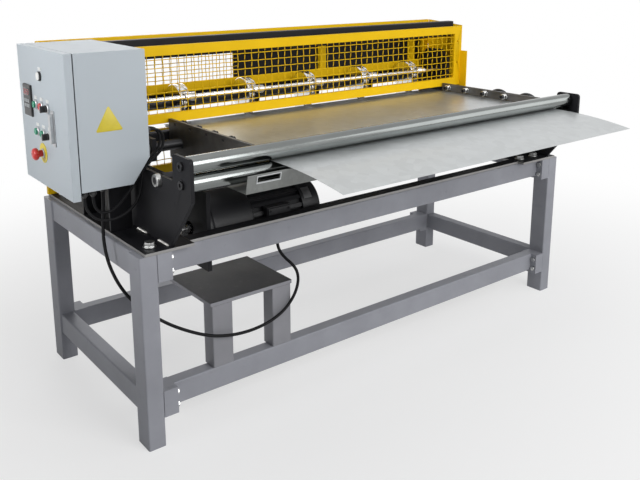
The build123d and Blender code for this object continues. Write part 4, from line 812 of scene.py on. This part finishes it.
# Cap screws in the bearing housings
bearing = Values(diameter=0.084, thickness=0.018, cheekWall=0.016, screws=4, screwCircle=0.033,
                 screwRadius=0.005, screwHeight=0.005)
bearingLow, bearingHigh = nodeBox("bead_bearings")
cheekLow, cheekHigh = nodeBox("bead_cheeks")
bearingY = nodeMiddle("bead_bearings").y
faceInset = bearing.cheekWall + bearing.thickness
bearingMesh = bmesh.new()
for z in (bearingLow.z + bearing.diameter / 2, bearingHigh.z - bearing.diameter / 2):
    for x, inward in ((cheekLow.x + faceInset, 1), (cheekHigh.x - faceInset, -1)):
        for spoke in spokesRound(bearing.screws, 0.5):
            across = spoke * bearing.screwCircle
            addCapScrew(bearingMesh, Vector((x, bearingY + across.x, z + across.y)), (inward, 0, 0),
                        bearing.screwRadius, bearing.screwHeight)
addPiece("bearing_cap_screws", bearingMesh, "machine", "oxideBlack")

# Bright round nuts on the ends of the dark tie bars: place along and across, and the way they look
tieNut = Values(radius=0.0212, height=0.015, chamfer=0.002, bore=0.0123, lip=0.0003, sides=36, z=868,
                places=((112, 71, -1), (2044, 71, 1), (280, 494, -1), (2006, 494, 1)))
nutMesh = bmesh.new()
for x, y, outward in tieNut.places:
    radius, height, cut = tieNut.radius, tieNut.height, tieNut.chamfer
    addLathe(nutMesh, atStand(x, y, tieNut.z), (outward, 0, 0), [
        (0, radius), (height - cut, radius), (height + tieNut.lip, radius - cut),
        (height + tieNut.lip, tieNut.bore), (height - tieNut.lip, tieNut.bore)], tieNut.sides)
addPiece("tie_bar_nuts", nutMesh, "machine", "boltZinc")

# Terminal box lid on the motor
terminalLid = Values(x=(528, 622), z=(604, 688), front=84, thickness=5, round=0.003, screwInset=9,
                     screwRadius=0.004, screwHeight=0.003)
lidMesh = bmesh.new()
lidFace = terminalLid.front - terminalLid.thickness
inset = terminalLid.screwInset
addStandBlock(lidMesh, terminalLid.x, (lidFace, terminalLid.front), terminalLid.z, terminalLid.round)
for x in (terminalLid.x[0] + inset, terminalLid.x[1] - inset):
    for z in (terminalLid.z[0] + inset, terminalLid.z[1] - inset):
        addCapScrew(lidMesh, atStand(x, lidFace, z), (0, -1, 0), terminalLid.screwRadius,
                    terminalLid.screwHeight)
addPiece("terminal_box_lid", lidMesh, "machine", "motorPaint")

# Bare plate bent round the fan cover
fanPlate = Values(x=(706, 740), axisY=200, axisZ=640, radius=103.4, start=28, end=52, steps=8, thickness=0.8)
inner, outer = fanPlate.radius, fanPlate.radius + fanPlate.thickness
plateCorners = list(zip(fanPlate.x + fanPlate.x[::-1], (inner, inner, outer, outer)))
plateMesh = bmesh.new()
plateRings = []
for step in range(fanPlate.steps + 1):
    turned = heading(math.radians(fanPlate.start + (fanPlate.end - fanPlate.start) * step / fanPlate.steps))
    plateRings.append([atStand(x, fanPlate.axisY - radius * turned.x, fanPlate.axisZ + radius * turned.y)
                       for x, radius in plateCorners])
addSkin(plateMesh, plateRings)
addPiece("fan_cover_blank_plate", plateMesh, "machine", "blankPlate")
print("motor trimmed")

# Folded rim round the slot in the apron's steep front; faceLow and faceHigh are points on that front
slotRim = Values(x=(314, 398), z=(878, 897), width=3.2, height=1.6, root=2.5, seat=0.2,
                 faceLow=(-167.4, 845), faceHigh=(-180.9, 904.3))


def apronFront(x, z, lift):  # a point that stands off the apron's front face
    low, high = Vector(slotRim.faceLow), Vector(slotRim.faceHigh)
    along = (high - low).normalized()
    spot = low.lerp(high, (z - low.y) / (high.y - low.y)) + Vector((-along.y, along.x)) * lift
    return atStand(x, spot.x, spot.y)


rimMesh = bmesh.new()
rimRings = []
for grow, lift in ((0, -slotRim.root), (0, slotRim.height), (slotRim.width, slotRim.height),
                   (slotRim.width, -slotRim.seat)):
    left, right = slotRim.x[0] - grow, slotRim.x[1] + grow
    bottom, top = slotRim.z[0] - grow, slotRim.z[1] + grow
    corners = ((left, bottom), (right, bottom), (right, top), (left, top))
    rimRings.append([apronFront(x, z, lift) for x, z in corners])
addSkin(rimMesh, rimRings, caps=())
addPiece("apron_slot_rim", rimMesh, "machine", "sheetZinc")

# Bare yellow plate on the cabinet's front, with round corners; its layers are depth and share of the outline
yellowPlate = Values(x=-14, halfWidth=44, top=1109, bottom=1030, round=3.5, arcInset=7, arcHalf=60, steps=5,
                     layers=((0, 1), (0.00042, 1), (0.0007, 0.985)))
plateCentre = Vector((0, (2 * yellowPlate.bottom + yellowPlate.top) / 3))
plateOutline = []
for corner in (Vector((-yellowPlate.halfWidth, yellowPlate.bottom)),
               Vector((yellowPlate.halfWidth, yellowPlate.bottom)), Vector((0, yellowPlate.top))):
    outward = (corner - plateCentre).normalized()
    facing = math.atan2(outward.y, outward.x)
    arcCentre = corner - outward * yellowPlate.arcInset
    for step in range(yellowPlate.steps + 1):
        sweep = math.radians(yellowPlate.arcHalf) * (2 * step / yellowPlate.steps - 1)
        plateOutline.append(arcCentre + heading(facing + sweep) * yellowPlate.round)
triangleMesh = bmesh.new()
cabinetFront = nodeBox("cabinet_body")[0].y
triangleRings = []
for depth, share in yellowPlate.layers:
    ring = []
    for point in plateOutline:
        spot = plateCentre.lerp(point, share)
        ring.append(atStand(yellowPlate.x + spot.x, 0, spot.y))
        ring[-1].y = cabinetFront - depth
    triangleRings.append(ring)
addSkin(triangleMesh, triangleRings, caps=(-1,))
addPiece("cabinet_yellow_plate", triangleMesh, "machine", "plateYellow")

# Rubber seal round the cabinet's opening
seal = Values(face=-113.6, y=(128, 545), z=(852, 1270), inset=9, corner=10, radius=0.0014, sides=8, steps=6)
arcReach = seal.inset + seal.corner
sealPoints = []
for quarter, (endY, endZ) in enumerate(((1, 1), (0, 1), (0, 0), (1, 0))):
    y = seal.y[endY] + arcReach * (1 - 2 * endY)
    z = seal.z[endZ] + arcReach * (1 - 2 * endZ)
    for step in range(seal.steps + 1):
        bend = heading((quarter + step / seal.steps) * math.pi / 2) * seal.corner
        sealPoints.append(atStand(seal.face, y + bend.x, z + bend.y))
sealMesh = bmesh.new()
addTube(sealMesh, sealPoints, seal.radius, seal.sides, loop=True)
addPiece("door_seal", sealMesh, "machine", "sealRubber", sharpAngle=80)
print("cabinet trimmed")

# Push buttons with a dished cap; the cap's shape is depth behind its front and share of its radius
button = Values(radius=0.0109, rootShare=0.96, sides=40,
                capShape=((0.0022, 1), (0.0008, 0.965), (0, 0.86), (0, 0.78), (0.00072, 0.6), (0.0012, 0.3),
                          (0.00126, 0.05)))
for bodyName, colourName in (("start", "green"), ("stop", "red"), ("jog_forward", "green"),
                             ("jog_reverse", "green")):
    nodeName = bodyName + "_button"
    root, length = doorFitting(nodeName)
    profile = [(0, button.radius * button.rootShare)]
    profile.extend((length - depth, button.radius * share) for depth, share in button.capShape)
    capMesh = bmesh.new()
    addLathe(capMesh, root, (-1, 0, 0), profile, button.sides)
    addPiece(nodeName + "_cap", capMesh, bodyName, "button" + colourName.title(),
             stoodFor=nodeName)

# Emergency stop: mushroom head on a stem; the head's shape is height past the neck and share of its radius
stopHead = Values(headRadius=0.020, headLength=0.017, stemRadius=0.0108, stemGap=0.002, sides=56,
                  headShape=((-0.001, 0.72), (0, 0.84), (0.003, 0.97), (0.006, 1), (0.0085, 0.985),
                             (0.012, 0.9), (0.0148, 0.72), (0.0163, 0.5), (0.017, 0.24), (0.017, 0.02)))
root, length = doorFitting("emergency_stop")
neck = length - stopHead.headLength
profile = [(0, stopHead.stemRadius), (neck - stopHead.stemGap, stopHead.stemRadius)]
profile.extend((neck + height, stopHead.headRadius * share) for height, share in stopHead.headShape)
headMesh = bmesh.new()
addLathe(headMesh, root, (-1, 0, 0), profile, stopHead.sides)
addPiece("emergency_stop_head", headMesh, "emergency", "buttonRed", sharpAngle=40,
         stoodFor="emergency_stop")

# Pilot lamp: black barrel, white lens with fine steps; the lens's shape is height and share of its radius
pilotLamp = Values(barrelRadius=0.015, barrelRise=0.0065, barrelChamfer=0.0012, barrelTop=0.94, sides=40,
                   lensRadius=0.0128, lensSeat=0.001, tipShare=0.1, tipDrop=0.0003,
                   lensShape=((0, 1), (0.0026, 1), (0.0036, 0.96), (0.0042, 0.86), (0.0045, 0.7),
                              (0.0046, 0.66), (0.0049, 0.4)))
root, length = doorFitting("pilot_lamp")
barrelMesh = bmesh.new()
addLathe(barrelMesh, root, (-1, 0, 0), [
    (0, pilotLamp.barrelRadius), (pilotLamp.barrelRise - pilotLamp.barrelChamfer, pilotLamp.barrelRadius),
    (pilotLamp.barrelRise, pilotLamp.barrelRadius * pilotLamp.barrelTop),
    (pilotLamp.barrelRise, pilotLamp.lensRadius)], pilotLamp.sides)
addPiece("pilot_lamp_barrel", barrelMesh, "door", "blackPlastic")
lensStart = pilotLamp.barrelRise - pilotLamp.lensSeat
profile = [(height, pilotLamp.lensRadius * share) for height, share in pilotLamp.lensShape]
profile.append((length - lensStart - pilotLamp.tipDrop, pilotLamp.lensRadius * pilotLamp.tipShare))
lensMesh = bmesh.new()
addLathe(lensMesh, root - Vector((lensStart, 0, 0)), (-1, 0, 0), profile, pilotLamp.sides)
addPiece("pilot_lamp_lens", lensMesh, "door", "lampWhite", sharpAngle=40,
         stoodFor="pilot_lamp")
print("buttons, stop head and lamp turned")

# Pointers on the selectors
pointer = Values(width=0.0018, length=0.0075, height=0.0005, seat=0.0004, round=0.0002)
for bodyName in ("mode", "feed"):
    nodeName = bodyName + "_selector"
    middle = nodeMiddle(nodeName)
    gripFront = nodeBox(nodeName)[0].x
    pointerMesh = bmesh.new()
    addPlaque(pointerMesh, gripFront - pointer.height, gripFront + pointer.seat, middle.y,
              middle.z + pointer.length / 2, pointer.width, pointer.length, pointer.round)
    addPiece(nodeName + "_pointer", pointerMesh, bodyName, "palePlastic")

# Bare tag plates above the buttons and the lamp
tag = Values(width=0.026, height=0.010, rise=0.022, thickness=0.0007, seat=0.0002, round=0.0003)
doorFace = nodeBox("cabinet_door")[0].x
tagMesh = bmesh.new()
for nodeName in ("start_button", "stop_button", "mode_selector", "jog_forward_button", "jog_reverse_button",
                 "feed_selector", "pilot_lamp"):
    middle = nodeMiddle(nodeName)
    addPlaque(tagMesh, doorFace - tag.thickness, doorFace + tag.seat, middle.y, middle.z + tag.rise,
              tag.width, tag.height, tag.round)
addPiece("blank_tag_plates", tagMesh, "door", "palePlastic")

# Counter display: dark window, red digits, two key rows
counterWindow = Values(width=0.054, height=0.026, drop=0.010, lift=0.0006, seat=0.0005, round=0.0004)
counterDigit = Values(shown="0250", height=0.015, width=0.0078, gap=0.0042, bar=0.0015, endGap=0.7,
                      sideGap=0.6, front=0.0009, back=0.0003, round=0.0001)
counterKey = Values(size=0.011, gap=0.005, rows=2, perRow=3, drop=0.016, lift=0.0012, seat=0.0004,
                    round=0.0007)
segments = {"top": (0, 1), "upperLeft": (-1, 0.5), "upperRight": (1, 0.5), "middle": (0, 0),
            "lowerLeft": (-1, -0.5), "lowerRight": (1, -0.5), "bottom": (0, -1)}
digitShapes = {"0": ("top", "upperLeft", "upperRight", "lowerLeft", "lowerRight", "bottom"),
               "2": ("top", "upperRight", "middle", "lowerLeft", "bottom"),
               "5": ("top", "upperLeft", "middle", "lowerRight", "bottom")}
displayLow, displayHigh = nodeBox("counter_display")
face = displayLow.x
middleY = (displayLow.y + displayHigh.y) / 2
windowTop = displayHigh.z - counterWindow.drop
windowZ = windowTop - counterWindow.height / 2
windowMesh = bmesh.new()
addPlaque(windowMesh, face - counterWindow.lift, face + counterWindow.seat, middleY, windowZ,
          counterWindow.width, counterWindow.height, counterWindow.round)
addPiece("counter_window", windowMesh, "door", "screenBlack")
uprightSize = (counterDigit.bar, counterDigit.height / 2 - 2 * counterDigit.bar * counterDigit.sideGap)
levelSize = (counterDigit.width - 2 * counterDigit.bar * counterDigit.endGap, counterDigit.bar)
digitMesh = bmesh.new()
for index, digit in enumerate(counterDigit.shown):
    fromMiddle = index - (len(counterDigit.shown) - 1) / 2
    digitY = middleY - fromMiddle * (counterDigit.width + counterDigit.gap)  # +Y lies at the reader's left
    for segmentName in digitShapes[digit]:
        side, level = segments[segmentName]
        width, height = uprightSize if side else levelSize
        addPlaque(digitMesh, face - counterDigit.front, face - counterDigit.back,
                  digitY - side * counterDigit.width / 2, windowZ + level * counterDigit.height / 2,
                  width, height, counterDigit.round)
addPiece("counter_digits", digitMesh, "door", "digitRed")
keyMesh = bmesh.new()
keyStep = counterKey.size + counterKey.gap
keyTop = windowTop - counterWindow.height - counterKey.drop
for row in range(counterKey.rows):
    for column in range(counterKey.perRow):
        addPlaque(keyMesh, face - counterKey.lift, face + counterKey.seat,
                  middleY + (column - (counterKey.perRow - 1) / 2) * keyStep, keyTop - row * keyStep,
                  counterKey.size, counterKey.size, counterKey.round)
addPiece("counter_keys", keyMesh, "door", "greyPlastic")
print("display made")

# Switchgear: mounting plate on spacers with two rails, in millimetres from the stand's corner
gearPlate = Values(x=(98, 101), y=(153, 520), z=(954, 1245), round=0.0006, boltInset=22, spacerRadius=0.007,
                   spacerLength=0.009, spacerSides=18, boltFlats=0.010, boltHeight=0.004,
                   boltChamfer=0.00088, railDepth=7.5, railHalf=17.5, railLip=4, railInset=8,
                   railRound=0.0004)
gearRows = ((978, 1074.5), (1124.5, 1221))
plateFront, plateBack = gearPlate.x
plateLeft, plateRight = gearPlate.y
plateMesh = bmesh.new()
addStandBlock(plateMesh, gearPlate.x, gearPlate.y, gearPlate.z, gearPlate.round)
for y in (plateLeft + gearPlate.boltInset, plateRight - gearPlate.boltInset):
    for z in (gearPlate.z[0] + gearPlate.boltInset, gearPlate.z[1] - gearPlate.boltInset):
        addLathe(plateMesh, atStand(plateBack, y, z), (1, 0, 0), [
            (0, gearPlate.spacerRadius), (gearPlate.spacerLength, gearPlate.spacerRadius)],
            gearPlate.spacerSides)
        addHex(plateMesh, atStand(plateFront, y, z), (-1, 0, 0), gearPlate.boltFlats, gearPlate.boltHeight,
               gearPlate.boltChamfer)
for low, high in gearRows:
    middle = (low + high) / 2
    for lipLow in (middle - gearPlate.railHalf, middle + gearPlate.railHalf - gearPlate.railLip):
        addStandBlock(plateMesh, (plateFront - gearPlate.railDepth, plateFront),
                      (plateLeft + gearPlate.railInset, plateRight - gearPlate.railInset),
                      (lipLow, lipLow + gearPlate.railLip), gearPlate.railRound)
addPiece("mounting_plate_and_rails", plateMesh, "machine", "boltZinc", stoodFor="switchgear")

# Devices on the rails: stepped body, front panel and terminal screws
device = Values(columns=((177, 271.3), (289.3, 383.7), (401.7, 496)), depths=(70, 95, 60), rowStep=10,
                terminalShare=0.24, bodyStart=0.35, noseEnd=0.4, backGap=3, noseInset=3, round=0.002,
                panelLift=1.6, panelSink=1, panelSide=12, panelEdge=8, panelRound=0.001, terminals=4,
                screwSides=14, screwShape=((0, 0.0042), (0.0016, 0.0042), (0.0021, 0.0036), (0.0013, 0.0030),
                                           (0.0013, 0.0004)))
deviceMesh = bmesh.new()
trimMesh = bmesh.new()
screwMesh = bmesh.new()
for row, (low, high) in enumerate(gearRows):
    step = (high - low) * device.terminalShare
    noseLow, noseHigh = low + step, high - step
    for (near, far), depth in zip(device.columns, device.depths):
        front = plateFront - depth + device.rowStep * row
        bodyFront = front + depth * device.bodyStart
        addStandBlock(deviceMesh, (bodyFront, plateFront - device.backGap), (near, far), (low, high),
                      device.round)
        addStandBlock(deviceMesh, (front, front + depth * device.noseEnd),
                      (near + device.noseInset, far - device.noseInset), (noseLow, noseHigh), device.round)
        addStandBlock(trimMesh, (front - device.panelLift, front + device.panelSink),
                      (near + device.panelSide, far - device.panelSide),
                      (noseLow + device.panelEdge, noseHigh - device.panelEdge), device.panelRound)
        for terminal in range(device.terminals):
            y = near + (far - near) * (terminal + 0.5) / device.terminals
            for z in ((low + noseLow) / 2, (noseHigh + high) / 2):
                addLathe(screwMesh, atStand(bodyFront, y, z), (-1, 0, 0), device.screwShape,
                         device.screwSides)

# Wiring duct with its fingers, between the two rows
duct = Values(height=26, depth=40, inset=10, round=0.0015, fingers=28, fingerStart=16, fingerPitch=12.2,
              fingerWidth=7, fingerLift=1, fingerRoot=4, fingerEdge=0.8, fingerRound=0.0004)
ductLow = (gearRows[0][1] + gearRows[1][0]) / 2 - duct.height / 2
ductHigh = ductLow + duct.height
addStandBlock(trimMesh, (plateFront - duct.depth, plateFront),
              (plateLeft + duct.inset, plateRight - duct.inset), (ductLow, ductHigh), duct.round)
for finger in range(duct.fingers):
    y = plateLeft + duct.fingerStart + finger * duct.fingerPitch
    addStandBlock(trimMesh, (plateFront - duct.depth - duct.fingerLift, plateFront - duct.fingerRoot),
                  (y, y + duct.fingerWidth), (ductLow - duct.fingerEdge, ductHigh + duct.fingerEdge),
                  duct.fingerRound)
addPiece("switchgear_devices", deviceMesh, "machine", "palePlastic")
addPiece("switchgear_fronts_and_duct", trimMesh, "machine", "greyPlastic")
addPiece("switchgear_terminals", screwMesh, "machine", "boltZinc")
print("switchgear wired")

# Camera at the photograph's place
photoCamera = Values(focal=766.3, frameWidth=640, shift=-0.15, yaw=0.667, pitch=0.2239,
                     place=(-915.4, -2043.0, 1506.0), sensor=36, near=0.05, far=100)
cameraData = bpy.data.cameras.new("photoCamera")
cameraData.sensor_width = photoCamera.sensor
cameraData.lens = photoCamera.focal * photoCamera.sensor / photoCamera.frameWidth
cameraData.shift_y = photoCamera.shift
cameraData.clip_start = photoCamera.near
cameraData.clip_end = photoCamera.far
camera = addObject("photoCamera", cameraData)
camera.location = atStand(*photoCamera.place)
level = math.cos(photoCamera.pitch)
aim(camera, Vector((math.sin(photoCamera.yaw) * level, math.cos(photoCamera.yaw) * level,
                    -math.sin(photoCamera.pitch))))
scene = bpy.context.scene
scene.camera = camera
scene.view_settings.view_transform = "Standard"

# Pale floor that fades into a white surround
studio = Values(floorRadius=30, floorSides=96, fadeStart=0.4, fadeEnd=3.4, nearGlow=0.55,
                floorColour=(0.8, 0.8, 0.8), paperGrain=300, paperDetail=2, paperLighter=0.03,
                worldLight=0.22, worldColour=(0.95, 0.97, 1), white=(1, 1, 1))
floorMesh = bmesh.new()
bmesh.ops.create_circle(floorMesh, cap_ends=True, radius=studio.floorRadius, segments=studio.floorSides)
floorData = bpy.data.meshes.new("studioFloor")
floorMesh.to_mesh(floorData)
floorMesh.free()
floor = addObject("studioFloor", floorData)
floor.location.z = cadLow.z


def seenRays(shader):  # 1 for rays that show the background, 0 for rays that light the object
    cameraRay = shader.add("ShaderNodeLightPath", {}, {}, "Is Camera Ray")
    glossyRay = shader.add("ShaderNodeLightPath", {}, {}, "Is Glossy Ray")
    clearRay = shader.add("ShaderNodeLightPath", {}, {}, "Is Transmission Ray")
    return shader.add("ShaderNodeMath", {"operation": "ADD", "use_clamp": True},
                      {0: cameraRay + glossyRay, 1: clearRay})


floorPaper = bpy.data.materials.new("floorPaper")
paperShader = Shader(floorPaper)
reach = paperShader.add("ShaderNodeVectorMath", {"operation": "LENGTH"}, {0: paperShader.place()}, "Value")
fade = paperShader.add("ShaderNodeMapRange", {"interpolation_type": "SMOOTHSTEP"},
                       {"Value": reach, "From Min": studio.fadeStart, "From Max": studio.fadeEnd,
                        "To Min": studio.nearGlow, "To Max": 1.0})
paperGrain = paperShader.noise(studio.paperGrain, studio.paperDetail)
paperColour = paperShader.shades(paperGrain, studio.floorColour, 0, studio.paperLighter)
paper = paperShader.add("ShaderNodeBsdfDiffuse", {}, {"Color": paperColour})
glow = paperShader.add("ShaderNodeEmission", {}, {"Color": tone(studio.white), "Strength": 1.0})
paperMix = paperShader.add("ShaderNodeMixShader", {}, {0: fade * seenRays(paperShader), 1: paper, 2: glow})
paperShader.add("ShaderNodeOutputMaterial", {}, {"Surface": paperMix})
floorData.materials.append(floorPaper)

world = bpy.data.worlds.new("studioWorld")
scene.world = world
sky = Shader(world)
lit = sky.add("ShaderNodeBackground", {}, {"Color": tone(studio.worldColour), "Strength": studio.worldLight})
plain = sky.add("ShaderNodeBackground", {}, {"Color": tone(studio.white), "Strength": 1.0})
either = sky.add("ShaderNodeMixShader", {}, {0: seenRays(sky), 1: lit, 2: plain})
sky.add("ShaderNodeOutputWorld", {}, {"Surface": either})

lamps = {
    "keySoftbox": Values(place=(0.4, -4.0, 2.6), aim=(0, 0, 0.7), size=2.6, power=126, spread=180),
    "leftSoftbox": Values(place=(-3.1, 0.1, 1.9), aim=(-1.0, 0.05, 1.3), size=1.2, power=4.2, spread=40),
    "rightSoftbox": Values(place=(3.4, -2.4, 2.4), aim=(0, 0, 0.7), size=2.4, power=28, spread=180),
    "rearSoftbox": Values(place=(0.4, 3.7, 2.0), aim=(0, 0, 0.8), size=2.6, power=34, spread=180),
    "overheadSoftbox": Values(place=(0, -0.2, 3.8), aim=(0, 0, 0.5), size=2.4, power=3, spread=180),
}
for lampName, lamp in lamps.items():
    lampData = bpy.data.lights.new(lampName, "AREA")
    lampData.shape = "SQUARE"
    lampData.size = lamp.size
    lampData.energy = lamp.power
    lampData.spread = math.radians(lamp.spread)
    lampObject = addObject(lampName, lampData)
    lampObject.location = lamp.place
    aim(lampObject, Vector(lamp.aim) - Vector(lamp.place))
print("studio lit")
